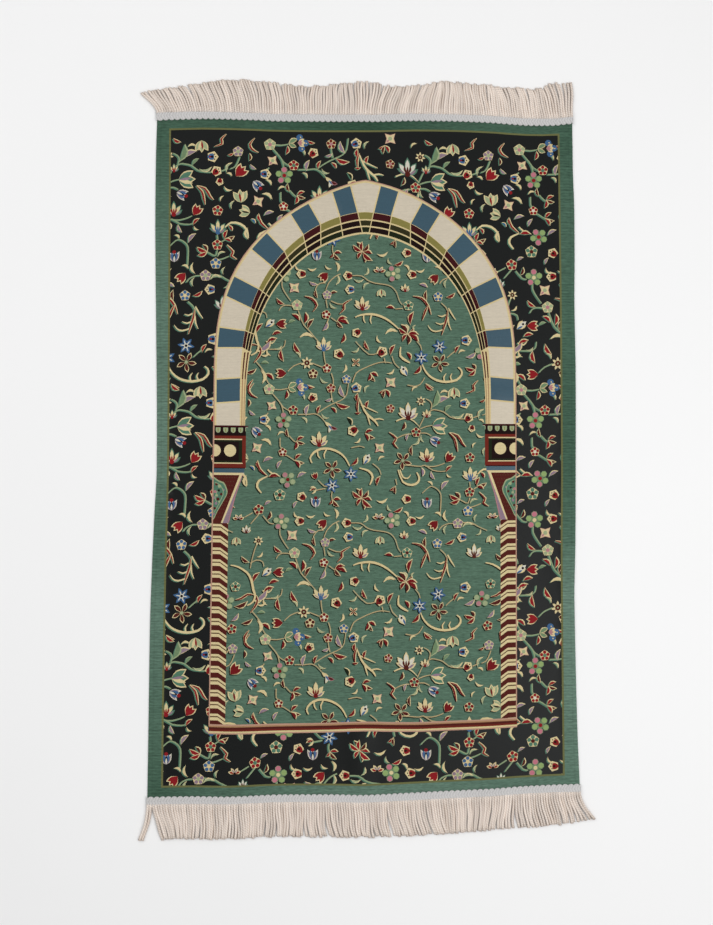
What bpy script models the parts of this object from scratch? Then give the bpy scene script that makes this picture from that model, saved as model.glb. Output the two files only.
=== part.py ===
"""Prayer rug laid out flat: one woven cloth with a braided fringe sewn over each end.

Units are metres. X runs across the rug, Y runs along it towards the point of the woven
arch, and Z is up from the floor that it lies on. The cloth's outline is as uneven as on a
used rug: each edge has a short table of how far it strays from a true rectangle.
"""

import math
import random

import bpy
import numpy as np

# ---------------------------------------------------------------- driving sizes
RUG_WIDTH = 0.700          # cloth, hem to hem
RUG_LENGTH = 1.100         # cloth that shows between the two braids
END_UNDER_BRAID = 0.012    # cut end of the cloth hidden under each braid

CLOTH_THICK = 0.0026       # woven ground with its chenille weft
HEM_THICK = 0.0038         # side hem, turned under and sewn
HEM_WIDTH = 0.019
HEM_STEP = 0.006           # slope from the hem down to the ground
HEM_ROUND = 0.004          # slope over the hem's own fold

BRAID_WIDTH = 0.0155
BRAID_THICK = 0.0016
BRAID_GAP = 0.0004         # from the cloth's face up to the braid
BRAID_PAST_HEM = 0.001     # how far the braid runs out past each hem
SCALLOP_DEPTH = 0.0011

CORDS_PER_END = 150
CORD_WIDTH = 0.0026
CORD_HEIGHT = 0.0022
ROOT_WIDTH = 0.0032        # where a cord leaves the braid
CORD_REACH = 0.0505        # usual length of a cord, past the braid
REACH_SCATTER = 0.0012     # how unevenly the ends were trimmed
CLUMP_SMALLEST = 8         # cords that lean together
CLUMP_LARGEST = 14
CLUMP_PULL = 0.16          # how far a clump draws in, as a share of its width

GRID_PITCH = 0.036         # usual spacing of the cloth's mesh
LEAST_PITCH = 0.0025       # grid lines closer than this are merged

# ---------------------------------------------------------------- how the edges stray
# Rows are (place along the edge, distance in mm); a distance is + towards +X or +Y.
LEFT_EDGE = [(-0.562, -3.6), (-0.42, -2.2), (-0.28, -1.0), (-0.18, 1.8), (-0.10, 5.0),
             (-0.02, 8.4), (0.08, 8.0), (0.20, 6.2), (0.30, 4.6), (0.40, 3.6), (0.48, 4.0),
             (0.562, 5.8)]
RIGHT_EDGE = [(-0.562, -0.8), (-0.45, -4.0), (-0.34, -5.4), (-0.25, -6.0), (-0.16, -3.2),
              (-0.06, -1.5), (0.04, 0.0), (0.14, 1.0), (0.24, 0.4), (0.33, 1.8), (0.40, 2.2),
              (0.48, 0.6), (0.562, 0.5)]
TOP_END = [(-0.35, -4.0), (-0.32, -1.6), (-0.26, 0.7), (-0.20, 0.2), (-0.15, -1.2),
           (-0.06, -0.4), (0.01, 0.6), (0.08, 3.4), (0.14, 3.8), (0.20, 2.6), (0.28, -1.4),
           (0.31, -1.0), (0.35, 3.0)]
BOTTOM_END = [(-0.35, -4.4), (-0.28, -4.7), (-0.22, -6.2), (-0.14, -4.0), (-0.06, -5.0),
              (0.0, -6.6), (0.06, -4.8), (0.13, -2.2), (0.20, 0.0), (0.26, 3.6), (0.30, 5.0),
              (0.35, 6.0)]

# ---------------------------------------------------------------- folds in the cloth
# Soft ridges, each lying along a line through (x, y) that is turned by an angle from +X.
# Rows are (x, y, angle in degrees, half length, half width, height), lengths in metres.
FOLDS = [
    (-0.010, 0.000, 90.0, 2.000, 0.030, 0.0016),    # where the rug was folded in half
    (0.236, 0.092, -9.0, 0.050, 0.022, 0.0020),     # short pinch over the right column
    (-0.318, 0.170, 84.0, 0.120, 0.034, 0.0013),    # long wave in the left border
    (0.322, -0.215, 95.0, 0.110, 0.030, 0.0012),    # long wave in the right border
]

# ---------------------------------------------------------------- how the cords lie
# Rows are (root's place across the rug, sideways lean of the tip in mm).
TOP_LEAN = [(-0.352, -28.5), (-0.32, -23.0), (-0.28, -17.0), (-0.24, -13.0), (-0.18, -8.0),
            (-0.12, -2.0), (-0.075, 5.0), (-0.02, 0.0), (0.03, 12.0), (0.06, 12.5),
            (0.10, 8.0), (0.14, 1.0), (0.18, -5.0), (0.25, -9.0), (0.31, -12.0),
            (0.335, -8.0), (0.352, 3.0)]
BOTTOM_LEAN = [(-0.352, -15.5), (-0.345, -13.0), (-0.342, 15.0), (-0.30, 8.0),
               (-0.25, 1.5), (-0.14, 2.0), (-0.05, 5.0), (0.05, 9.0), (0.11, 10.0),
               (0.16, 3.0), (0.21, -4.0), (0.236, -5.0), (0.243, 4.0), (0.30, 10.0),
               (0.335, 15.0), (0.352, 23.5)]
# Rows are (root's place, how much longer the cord reaches than usual, in mm).
TOP_REACH = [(-0.352, -19.0), (-0.325, -14.0), (-0.28, -9.0), (-0.24, 0.0), (-0.18, 2.0),
             (-0.10, -5.0), (-0.05, -1.0), (0.0, 3.0), (0.03, -5.0), (0.08, -4.0),
             (0.12, 2.0), (0.20, 0.0), (0.31, -2.0), (0.325, 6.0), (0.352, 4.5)]
BOTTOM_REACH = [(-0.352, 2.0), (-0.10, 1.5), (0.12, 2.5), (0.22, 1.0), (0.30, -1.0),
                (0.352, -7.0)]
TOP_SEED = 11
BOTTOM_SEED = 23

# Sections of a cord: (share of its reach, share of its lean); the first is its root.
CORD_SECTIONS = [(0.17, 0.08), (0.58, 0.50), (1.0, 1.0)]

CLOTH_COLOUR = (0.085, 0.185, 0.135, 1.0)
CORD_COLOUR = (0.62, 0.56, 0.49, 1.0)


# ---------------------------------------------------------------- the rug's form
def along(table, place):
    """Value of a table of (place, value) rows, on a smooth curve that never overshoots a row."""
    places, values = (np.array(column) for column in zip(*table))
    rates = np.diff(values) / np.diff(places)
    agree = rates[:-1] * rates[1:] > 0.0
    shared = np.where(agree, rates[:-1] * rates[1:], 0.0) / np.where(agree, rates[:-1] + rates[1:], 1.0)
    slopes = np.concatenate([rates[:1], 2.0 * shared, rates[-1:]])
    place = np.clip(place, places[0], places[-1])
    row = np.clip(np.searchsorted(places, place) - 1, 0, len(places) - 2)
    span = places[row + 1] - places[row]
    t = (place - places[row]) / span
    rise = t * t * (3.0 - 2.0 * t)
    return (values[row] * (1.0 - rise) + values[row + 1] * rise
            + slopes[row] * span * t * (1.0 - t) ** 2
            - slopes[row + 1] * span * t * t * (1.0 - t))


def laid(u, v):
    """Where a point (u, v) of the true rectangle lies on the floor, as x and y."""
    right_share = u / RUG_WIDTH + 0.5
    top_share = v / (RUG_LENGTH + 2.0 * END_UNDER_BRAID) + 0.5
    x = u + 0.001 * (along(LEFT_EDGE, v) * (1.0 - right_share)
                     + along(RIGHT_EDGE, v) * right_share)
    y = v + 0.001 * (along(BOTTOM_END, u) * (1.0 - top_share)
                     + along(TOP_END, u) * top_share)
    return x, y


def lift(x, y):
    """How far the folds raise the cloth's underside off the floor."""
    height = np.zeros(np.shape(x))
    for centre_x, centre_y, angle, half_length, half_width, ridge in FOLDS:
        turn = math.radians(angle)
        ahead = (x - centre_x) * math.cos(turn) + (y - centre_y) * math.sin(turn)
        aside = (y - centre_y) * math.cos(turn) - (x - centre_x) * math.sin(turn)
        fade = np.clip(1.0 - (ahead / half_length) ** 2, 0.0, 1.0) ** 2
        height = height + ridge * fade * np.clip(1.0 - (aside / half_width) ** 2, 0.0, 1.0) ** 2
    return height


def thickness(u):
    """Cloth thickness across the rug: the woven ground, and a thicker hem at each side."""
    from_edge = RUG_WIDTH / 2.0 - np.abs(u)
    return np.interp(from_edge,
                     [0.0, HEM_ROUND, HEM_WIDTH, HEM_WIDTH + HEM_STEP],
                     [CLOTH_THICK, HEM_THICK, HEM_THICK, CLOTH_THICK])


def stations(half_span, named):
    """Grid lines from -half_span to half_span: the named ones, and even ones between."""
    lines = sorted({-half_span, half_span, *named})
    kept = [lines[0]]
    for line in lines[1:]:
        gap = line - kept[-1]
        steps = max(1, round(gap / GRID_PITCH))
        kept += [kept[-1] + gap * step / steps for step in range(1, steps + 1)]
    return np.array([kept[0]] + [b for a, b in zip(kept, kept[1:]) if b - a > LEAST_PITCH])


# ---------------------------------------------------------------- making the objects
def material(name, colour, roughness):
    """A plain Principled material."""
    made = bpy.data.materials.new(name)
    made.use_nodes = True
    shader = made.node_tree.nodes["Principled BSDF"]
    shader.inputs["Base Color"].default_value = colour
    shader.inputs["Roughness"].default_value = roughness
    shader.inputs["Metallic"].default_value = 0.0
    return made


def add_object(name, points, faces, finish):
    """Puts a mesh of these points and faces in the scene as one named object."""
    mesh = bpy.data.meshes.new(name)
    mesh.from_pydata([tuple(point) for point in points], [], faces)
    mesh.materials.append(finish)
    made = bpy.data.objects.new(name, mesh)
    bpy.context.scene.collection.objects.link(made)
    return made


def make_cloth():
    """The woven cloth: a top and an underside on one grid, joined round the rim."""
    half_width = RUG_WIDTH / 2.0
    half_cut = RUG_LENGTH / 2.0 + END_UNDER_BRAID
    hem_lines = [half_width - HEM_ROUND, half_width - HEM_WIDTH,
                 half_width - HEM_WIDTH - HEM_STEP]
    crease_x, crease_half = FOLDS[0][0], FOLDS[0][4]
    crease_lines = [crease_x + crease_half * share for share in (-1.0, -0.6, -0.25, 0.25, 0.6, 1.0)]
    columns = stations(half_width, [s * line for line in hem_lines for s in (-1, 1)] + crease_lines)
    pinch_y, pinch_half = FOLDS[1][1], FOLDS[1][4]
    rows = stations(half_cut, [pinch_y + pinch_half * share for share in (-1.0, -0.4, 0.4, 1.0)])

    u, v = np.meshgrid(columns, rows)
    x, y = laid(u, v)
    underside = lift(x, y)
    top = underside + thickness(u)
    points = np.concatenate([np.dstack([x, y, top]).reshape(-1, 3),
                             np.dstack([x, y, underside]).reshape(-1, 3)])

    wide, tall = len(columns), len(rows)
    below = wide * tall
    faces = []
    for row in range(tall - 1):
        for column in range(wide - 1):
            a = row * wide + column
            b, c, d = a + 1, a + 1 + wide, a + wide
            faces += [(a, b, c), (a, c, d)]
            faces += [(below + c, below + b, below + a), (below + d, below + c, below + a)]
    rim = list(range(wide))
    rim += [row * wide + wide - 1 for row in range(1, tall)]
    rim += [(tall - 1) * wide + column for column in range(wide - 2, -1, -1)]
    rim += [row * wide for row in range(tall - 2, 0, -1)]
    for a, b in zip(rim, rim[1:] + rim[:1]):
        faces += [(a, below + a, below + b), (a, below + b, b)]
    return add_object("rug_cloth", points, faces, material("woven_cloth", CLOTH_COLOUR, 0.85))


def clump_pull(seed):
    """Sideways pull at each cord's tip: the cords of a clump draw in to its middle."""
    draw = random.Random(seed)
    pulls = []
    while len(pulls) < CORDS_PER_END:
        cords = draw.randint(CLUMP_SMALLEST, CLUMP_LARGEST)
        pulls += [(cords - 1) / 2.0 - place for place in range(cords)]
    pitch = RUG_WIDTH / CORDS_PER_END
    return np.array(pulls[:CORDS_PER_END]) * pitch * CLUMP_PULL


def make_fringe(name, end, lean_table, reach_table, seed, finish):
    """A braid over one end of the cloth (end is +1 or -1) with its row of cords."""
    draw = random.Random(seed)
    half_braid = RUG_WIDTH / 2.0 + BRAID_PAST_HEM
    bounds = np.linspace(-half_braid, half_braid, CORDS_PER_END + 1)
    middles = (bounds[:-1] + bounds[1:]) / 2.0
    root_sides = np.stack([middles - ROOT_WIDTH / 2.0, middles + ROOT_WIDTH / 2.0], axis=1)

    def braid_points(u, past_line):
        """Braid's upper and lower points, this far past the line where the cloth shows."""
        x, y = laid(u, np.full(np.shape(u), end * RUG_LENGTH / 2.0))
        y = y + end * past_line
        low = lift(x, y) + thickness(u) + BRAID_GAP
        return [np.stack([x, y, low + up], axis=-1).reshape(-1, 3) for up in (BRAID_THICK, 0.0)]

    scallop = np.where(np.arange(CORDS_PER_END + 1) % 2 == 0, SCALLOP_DEPTH, 0.0)
    inner_top, inner_low = braid_points(bounds, scallop)
    outer_top, outer_low = braid_points(root_sides, BRAID_WIDTH)
    corner_top, corner_low = braid_points(bounds[[0, -1]], BRAID_WIDTH)
    points = [*inner_top, *inner_low, *outer_top, *outer_low, *corner_top, *corner_low]
    inner, inner_under = 0, CORDS_PER_END + 1
    outer = 2 * (CORDS_PER_END + 1)
    outer_under = outer + 2 * CORDS_PER_END
    corner = outer_under + 2 * CORDS_PER_END

    faces = []

    def skin(*loop):
        """Adds a face on the braid, wound for the +Y end and turned over for the other."""
        faces.append(loop if end > 0 else loop[::-1])

    def both_skins(over, under):
        """Adds a face on top of the braid and its match on the underside."""
        skin(*over)
        skin(*under[::-1])

    last = CORDS_PER_END - 1
    both_skins((inner, outer, corner), (inner_under, outer_under, corner + 2))
    both_skins((inner + last + 1, corner + 1, outer + 2 * last + 1),
               (inner_under + last + 1, corner + 3, outer_under + 2 * last + 1))
    skin(corner, outer, outer_under)
    skin(corner, outer_under, corner + 2)
    skin(outer + 2 * last + 1, corner + 1, corner + 3)
    skin(outer + 2 * last + 1, corner + 3, outer_under + 2 * last + 1)
    skin(inner, corner, corner + 2)
    skin(inner, corner + 2, inner_under)
    skin(corner + 1, inner + last + 1, inner_under + last + 1)
    skin(corner + 1, inner_under + last + 1, corner + 3)

    pulls = clump_pull(seed)
    leans = 0.001 * along(lean_table, middles) + pulls
    reaches = CORD_REACH + 0.001 * along(reach_table, middles)
    for cord in range(CORDS_PER_END):
        near, far = inner + cord, inner + cord + 1
        near_under, far_under = inner_under + cord, inner_under + cord + 1
        left, right = outer + 2 * cord, outer + 2 * cord + 1
        left_under, right_under = outer_under + 2 * cord, outer_under + 2 * cord + 1
        both_skins((near, far, right), (near_under, far_under, right_under))
        both_skins((near, right, left), (near_under, right_under, left_under))
        skin(far, near, near_under)
        skin(far, near_under, far_under)
        if cord < last:
            both_skins((far, right + 1, right), (far_under, right_under + 1, right_under))
            skin(right, right + 1, right_under + 1)
            skin(right, right_under + 1, right_under)

        root_x = (points[left][0] + points[right][0]) / 2.0
        root_y = points[left][1]
        reach = reaches[cord] + draw.uniform(-REACH_SCATTER, REACH_SCATTER)
        ring = [left, right, right_under, left_under]
        for reach_share, lean_share in CORD_SECTIONS:
            x = root_x + leans[cord] * lean_share
            y = root_y + end * reach * reach_share
            start = len(points)
            points += [(x - CORD_WIDTH / 2.0, y, CORD_HEIGHT), (x + CORD_WIDTH / 2.0, y, CORD_HEIGHT),
                       (x + CORD_WIDTH / 2.0, y, 0.0), (x - CORD_WIDTH / 2.0, y, 0.0)]
            new_ring = list(range(start, start + 4))
            for side in range(4):
                a, b = ring[side], ring[(side + 1) % 4]
                c, d = new_ring[(side + 1) % 4], new_ring[side]
                skin(a, b, c)
                skin(a, c, d)
            ring = new_ring
        skin(ring[0], ring[1], ring[2])
        skin(ring[0], ring[2], ring[3])
    return add_object(name, points, faces, finish)


def main():
    """Clears the scene and builds the rug."""
    for old in list(bpy.data.objects):
        bpy.data.objects.remove(old, do_unlink=True)
    make_cloth()
    cotton = material("fringe_cotton", CORD_COLOUR, 0.9)
    make_fringe("fringe_top", 1, TOP_LEAN, TOP_REACH, TOP_SEED, cotton)
    make_fringe("fringe_bottom", -1, BOTTOM_LEAN, BOTTOM_REACH, BOTTOM_SEED, cotton)


main()
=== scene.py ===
"""Looks of a prayer rug laid out flat: one woven cloth with a braided fringe over each end.

Units are metres, except in the weaving plan, whose charts are in millimetres. X runs across
the rug, Y runs along it towards the point of the woven arch, and Z is up from the floor. The
cloth's form is the one that its solid has: the same sizes, uneven edges and soft folds. On it
every motif of the weave is a patch of the sheet's own mesh, cut along the motif's outline.
"""

import logging
import math
import random
from dataclasses import dataclass, replace
from enum import Enum
from typing import Any, Callable, Sequence

import bpy
import numpy as np
from mathutils import Matrix, Vector
from mathutils.geometry import delaunay_2d_cdt

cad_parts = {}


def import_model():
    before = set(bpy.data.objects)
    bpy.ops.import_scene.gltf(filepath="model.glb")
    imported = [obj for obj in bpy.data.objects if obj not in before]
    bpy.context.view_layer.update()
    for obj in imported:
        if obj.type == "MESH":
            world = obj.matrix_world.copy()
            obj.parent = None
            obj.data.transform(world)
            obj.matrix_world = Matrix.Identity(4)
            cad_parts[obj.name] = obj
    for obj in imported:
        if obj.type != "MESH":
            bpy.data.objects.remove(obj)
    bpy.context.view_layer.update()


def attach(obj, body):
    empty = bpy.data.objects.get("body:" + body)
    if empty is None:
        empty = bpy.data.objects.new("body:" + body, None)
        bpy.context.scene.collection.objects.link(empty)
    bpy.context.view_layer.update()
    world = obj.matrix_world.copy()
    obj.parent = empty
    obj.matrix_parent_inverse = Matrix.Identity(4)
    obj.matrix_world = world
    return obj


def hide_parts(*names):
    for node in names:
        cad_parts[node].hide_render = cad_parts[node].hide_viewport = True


LOG = logging.getLogger("prayer_rug")
MM = 0.001
POINT_TURN = math.pi / 2.0

Rows = Sequence[tuple[float, ...]]
Outline = np.ndarray


# ---------------------------------------------------------------- the rug's form
def along(table: Rows, place: np.ndarray) -> np.ndarray:
    """Value of a table at each place, on a smooth curve that never overshoots a row.

    A cubic runs between each two rows, and its slope at a row is the harmonic mean of the
    rates on both sides, or none where they disagree.

    Args:
        table: Rows of (place, value), in order of place.
        place: Where to read the table.

    Returns:
        The values, in the shape of place.
    """
    places, values = (np.array(column) for column in zip(*table))
    rates = np.diff(values) / np.diff(places)
    agree = rates[:-1] * rates[1:] > 0.0
    shared = np.where(agree, rates[:-1] * rates[1:], 0.0) / np.where(agree, rates[:-1] + rates[1:], 1.0)
    slopes = np.concatenate([rates[:1], 2.0 * shared, rates[-1:]])
    place = np.clip(place, places[0], places[-1])
    row = np.clip(np.searchsorted(places, place) - 1, 0, len(places) - 2)
    span = places[row + 1] - places[row]
    t = (place - places[row]) / span
    rise = t * t * (3.0 - 2.0 * t)
    return (values[row] * (1.0 - rise) + values[row + 1] * rise
            + slopes[row] * span * t * (1.0 - t) ** 2
            - slopes[row + 1] * span * t * t * (1.0 - t))


@dataclass(frozen=True)
class RugForm:
    """Sizes and unevenness of the rug as it lies, the same as its solids have.

    Rows of an edge are (place along it, distance in mm, + towards +X or +Y). Rows of folds are
    (x, y, angle in degrees, half length, half width, height). Corrections undo the unevenness.
    """

    width: float = 0.700
    length: float = 1.100
    end_under_braid: float = 0.012
    cloth_thick: float = 0.0026
    hem_thick: float = 0.0038
    hem_width: float = 0.019
    hem_step: float = 0.006
    hem_round: float = 0.004
    left_edge: Rows = (
        (-0.562, -3.6), (-0.42, -2.2), (-0.28, -1), (-0.18, 1.8), (-0.10, 5), (-0.02, 8.4), (0.08, 8),
        (0.20, 6.2), (0.30, 4.6), (0.40, 3.6), (0.48, 4), (0.562, 5.8))
    right_edge: Rows = (
        (-0.562, -0.8), (-0.45, -4), (-0.34, -5.4), (-0.25, -6), (-0.16, -3.2), (-0.06, -1.5), (0.04, 0),
        (0.14, 1), (0.24, 0.4), (0.33, 1.8), (0.40, 2.2), (0.48, 0.6), (0.562, 0.5))
    top_end: Rows = (
        (-0.35, -4), (-0.32, -1.6), (-0.26, 0.7), (-0.20, 0.2), (-0.15, -1.2), (-0.06, -0.4), (0.01, 0.6),
        (0.08, 3.4), (0.14, 3.8), (0.20, 2.6), (0.28, -1.4), (0.31, -1), (0.35, 3))
    bottom_end: Rows = (
        (-0.35, -4.4), (-0.28, -4.7), (-0.22, -6.2), (-0.14, -4), (-0.06, -5), (0, -6.6), (0.06, -4.8),
        (0.13, -2.2), (0.20, 0), (0.26, 3.6), (0.30, 5), (0.35, 6))
    folds: Rows = (
        (-0.010, 0.000, 90, 2.000, 0.030, 0.0016), (0.236, 0.092, -9, 0.050, 0.022, 0.0020),
        (-0.318, 0.170, 84, 0.120, 0.034, 0.0013), (0.322, -0.215, 95, 0.110, 0.030, 0.0012))
    corrections: int = 5

    @property
    def half_width(self) -> float:
        """Half the cloth's width."""
        return self.width / 2.0

    @property
    def half_cut(self) -> float:
        """Half the cloth's length, with the ends under the braids."""
        return self.length / 2.0 + self.end_under_braid

    def laid(self, u: np.ndarray, v: np.ndarray) -> tuple[np.ndarray, np.ndarray]:
        """Where points of the true rectangle lie on the floor.

        Each point moves by a blend of what the two edges beside it stray, by how near each is.

        Args:
            u: Places across the true rectangle.
            v: Places along it.

        Returns:
            The places x and y on the floor.
        """
        right_share = u / self.width + 0.5
        top_share = v / (2.0 * self.half_cut) + 0.5
        x = u + MM * (along(self.left_edge, v) * (1.0 - right_share)
                      + along(self.right_edge, v) * right_share)
        y = v + MM * (along(self.bottom_end, u) * (1.0 - top_share)
                      + along(self.top_end, u) * top_share)
        return x, y

    def unlaid(self, x: np.ndarray, y: np.ndarray) -> tuple[np.ndarray, np.ndarray]:
        """Points of the true rectangle that lie at x and y: laid() undone in a few corrections.

        Args:
            x: Places across the floor.
            y: Places along it.

        Returns:
            The places u and v on the true rectangle.
        """
        u, v = x, y
        for _ in range(self.corrections):
            there_x, there_y = self.laid(u, v)
            u, v = u + x - there_x, v + y - there_y
        return u, v

    def lift(self, x: np.ndarray, y: np.ndarray) -> np.ndarray:
        """How far the folds raise the cloth's underside off the floor.

        Each fold is a ridge (1 - s^2)^2 high across its line, and fades as (1 - t^2)^2 along it.

        Args:
            x: Places across the floor.
            y: Places along it.

        Returns:
            The heights.
        """
        height = np.zeros(np.shape(x))
        for centre_x, centre_y, angle, half_length, half_width, ridge in self.folds:
            turn = math.radians(angle)
            ahead = (x - centre_x) * math.cos(turn) + (y - centre_y) * math.sin(turn)
            aside = (y - centre_y) * math.cos(turn) - (x - centre_x) * math.sin(turn)
            fade = np.clip(1.0 - (ahead / half_length) ** 2, 0.0, 1.0) ** 2
            height = height + ridge * fade * np.clip(1.0 - (aside / half_width) ** 2, 0.0, 1.0) ** 2
        return height

    def thickness(self, u: np.ndarray) -> np.ndarray:
        """Cloth thickness across the rug: straight slopes between the ground and each hem.

        Args:
            u: Places across the true rectangle.

        Returns:
            The thickness at each.
        """
        from_edge = self.half_width - np.abs(u)
        return np.interp(from_edge,
                         [0.0, self.hem_round, self.hem_width, self.hem_width + self.hem_step],
                         [self.cloth_thick, self.hem_thick, self.hem_thick, self.cloth_thick])


def sheet_object(name: str, points: np.ndarray, faces: Sequence[Sequence[int]],
                 finish: bpy.types.Material, smooth: bool = True) -> bpy.types.Object:
    """Puts a mesh of these points and faces in the scene as one object at the origin.

    Args:
        name: The piece's name.
        points: Corners, n by 3.
        faces: Corner numbers of each face.
        finish: Its material.
        smooth: Whether its faces are shaded smooth.

    Returns:
        The object.
    """
    mesh = bpy.data.meshes.new(name)
    mesh.from_pydata(points.tolist(), [], [list(face) for face in faces])
    mesh.polygons.foreach_set("use_smooth", np.full(len(mesh.polygons), smooth))
    mesh.materials.append(finish)
    mesh.update()
    made = bpy.data.objects.new(name, mesh)
    bpy.context.scene.collection.objects.link(made)
    return made


# ---------------------------------------------------------------- yarns and weaves
def linear(red: float, green: float, blue: float) -> tuple[float, float, float, float]:
    """The linear colour of a screen colour whose parts run from 0 to 255."""
    parts = np.array([red, green, blue]) / 255.0
    light = np.where(parts <= 0.04045, parts / 12.92, ((parts + 0.055) / 1.055) ** 2.4)
    return (*light.tolist(), 1.0)


class Weave(Enum):
    """How a patch is woven, as the numbers that the cloth's finish reads from the mesh."""

    BRIGHT_SATIN = 0.0
    SATIN = 0.16
    TAPESTRY = 0.36
    CHENILLE = 1.0


class Yarn(Enum):
    """Colours of the yarns, as screen colours, with the weave of those that are not tapestry."""

    GREEN = (79, 104, 88, Weave.CHENILLE)
    HEM_GREEN = (91, 115, 101, Weave.CHENILLE)
    NIGHT = (5, 8, 7, Weave.SATIN)
    GOLD = (100, 101, 64)
    IVORY = (192, 181, 161, Weave.BRIGHT_SATIN)
    BLUE = (30, 67, 83, Weave.BRIGHT_SATIN)
    SALMON = (172, 136, 116)
    STRAW = (198, 180, 134)
    CREAM = (200, 184, 140)
    TAN = (156, 120, 88)
    MAROON = (76, 30, 25)
    WINE = (58, 20, 22)
    RED = (104, 24, 26)
    RUST = (102, 36, 27)
    BROWN = (82, 58, 40)
    BLUSH = (190, 152, 130)
    COAL = (28, 16, 15)
    MOSS = (28, 34, 20)
    OLIVE = (124, 116, 64)
    DARK_OLIVE = (46, 44, 25)
    SHADE = (21, 27, 21)
    TEAL = (76, 112, 92)
    PALE = (146, 156, 120)
    LEAF = (104, 126, 94)
    LAVENDER = (132, 112, 124)
    ROSE = (176, 108, 120)
    LIME = (132, 154, 98)
    PINK = (164, 114, 118)
    WHITE = (196, 192, 176)
    SKY = (60, 92, 128)
    NAVY = (34, 48, 78)
    STEM = (166, 150, 112)
    BORDER_STEM = (130, 146, 112)
    BRIGHT_RED = (128, 28, 32)

    @property
    def colour(self) -> tuple[float, float, float, float]:
        """The yarn's linear colour."""
        return linear(*self.value[:3])

    @property
    def weave(self) -> Weave:
        """How the yarn is woven."""
        return self.value[3] if len(self.value) > 3 else Weave.TAPESTRY


class Ground(Enum):
    """The grounds of the design: where two overlap, the one that is listed later shows."""

    HEM = 0
    BORDER = 1
    FRAME = 2
    FIELD = 3


@dataclass(frozen=True)
class Patch:
    """One area of a single yarn: its outline in mm on the true rectangle, and what it lies in."""

    outline: Outline
    yarn: Yarn
    ground: Ground
    is_ground: bool = False


# ---------------------------------------------------------------- shapes of the weave
def turned(points: Outline, degrees: float) -> Outline:
    """Points turned about the origin."""
    cosine, sine = math.cos(math.radians(degrees)), math.sin(math.radians(degrees))
    return points @ np.array([[cosine, sine], [-sine, cosine]])


def box(left: float, bottom: float, right: float, top: float) -> Outline:
    """A rectangle's four corners."""
    return np.array([(left, bottom), (right, bottom), (right, top), (left, top)], float)


def disc(x: float, y: float, radius: float, sides: int = 7) -> Outline:
    """A round patch: points a radius from (x, y), at even angles."""
    angle = np.arange(sides) * (2.0 * math.pi / sides)
    return np.column_stack([x + radius * np.cos(angle), y + radius * np.sin(angle)])


def lobed(radius: float, lobes: int, dip: float, turn: float = 90.0, per_lobe: int = 3) -> Outline:
    """A flower's outline: the radius dips by a share between lobes, as 1 - dip (1 - |cos|).

    Args:
        radius: Reach of each lobe.
        lobes: How many there are.
        dip: Share of the radius lost between two lobes.
        turn: Direction of the first lobe, in degrees.
        per_lobe: Points on each lobe.

    Returns:
        The outline round the origin.
    """
    angle = np.arange(lobes * per_lobe) * (2.0 * math.pi / (lobes * per_lobe))
    reach = radius * (1.0 - dip * (1.0 - np.abs(np.cos(lobes * angle / 2.0))))
    angle = angle + math.radians(turn)
    return np.column_stack([reach * np.cos(angle), reach * np.sin(angle)])


def star(radius: float, points: int, waist: float, turn: float = 90.0) -> Outline:
    """A star's outline: tips at the radius, and corners between them at its waist share."""
    angle = math.radians(turn) + np.arange(2 * points) * (math.pi / points)
    reach = radius * np.where(np.arange(2 * points) % 2 == 0, 1.0, waist)
    return np.column_stack([reach * np.cos(angle), reach * np.sin(angle)])


def blade(length: float, width: float, bend: float = 0.0, belly: float = 0.5, steps: int = 5) -> Outline:
    """A petal or leaf from the origin up along +Y.

    Its half width is sin(pi t^k) of the full half width, where k puts the widest place at
    the belly's share of the length, and its middle line bows aside as 4 t (1 - t).

    Args:
        length: From base to tip.
        width: At the widest place.
        bend: How far the middle bows to the right, as a share of the length.
        belly: Where it is widest, as a share of the length.
        steps: Points on each side.

    Returns:
        The outline, from the base up the right side and down the left.
    """
    t = np.linspace(0.0, 1.0, steps + 1)
    half = 0.5 * width * np.sin(math.pi * t ** (math.log(0.5) / math.log(belly)))
    bow = bend * length * 4.0 * t * (1.0 - t)
    right = np.column_stack([bow + half, t * length])
    left = np.column_stack([bow - half, t * length])[1:-1][::-1]
    return np.concatenate([right, left])


def smooth_path(points: Rows, steps: int = 4) -> Outline:
    """A smooth line through points: between two of them a cubic whose slopes are half the
    difference of their neighbours.

    Args:
        points: The points that it runs through, as pairs or as x and y by turns.
        steps: Pieces between each two points.

    Returns:
        Points along the line.
    """
    line = np.array(points, float).reshape(-1, 2)
    before = np.concatenate([2.0 * line[:1] - line[1:2], line, 2.0 * line[-1:] - line[-2:-1]])
    slope = (before[2:] - before[:-2]) / 2.0
    t = np.linspace(0.0, 1.0, steps, endpoint=False)[None, :, None]
    a, b = line[:-1, None, :], line[1:, None, :]
    from_a, into_b = slope[:-1, None, :], slope[1:, None, :]
    inner = (a * (1.0 + 2.0 * t) * (1.0 - t) ** 2 + b * t * t * (3.0 - 2.0 * t)
             + from_a * t * (1.0 - t) ** 2 - into_b * t * t * (1.0 - t))
    return np.concatenate([inner.reshape(-1, 2), line[-1:]])


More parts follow.
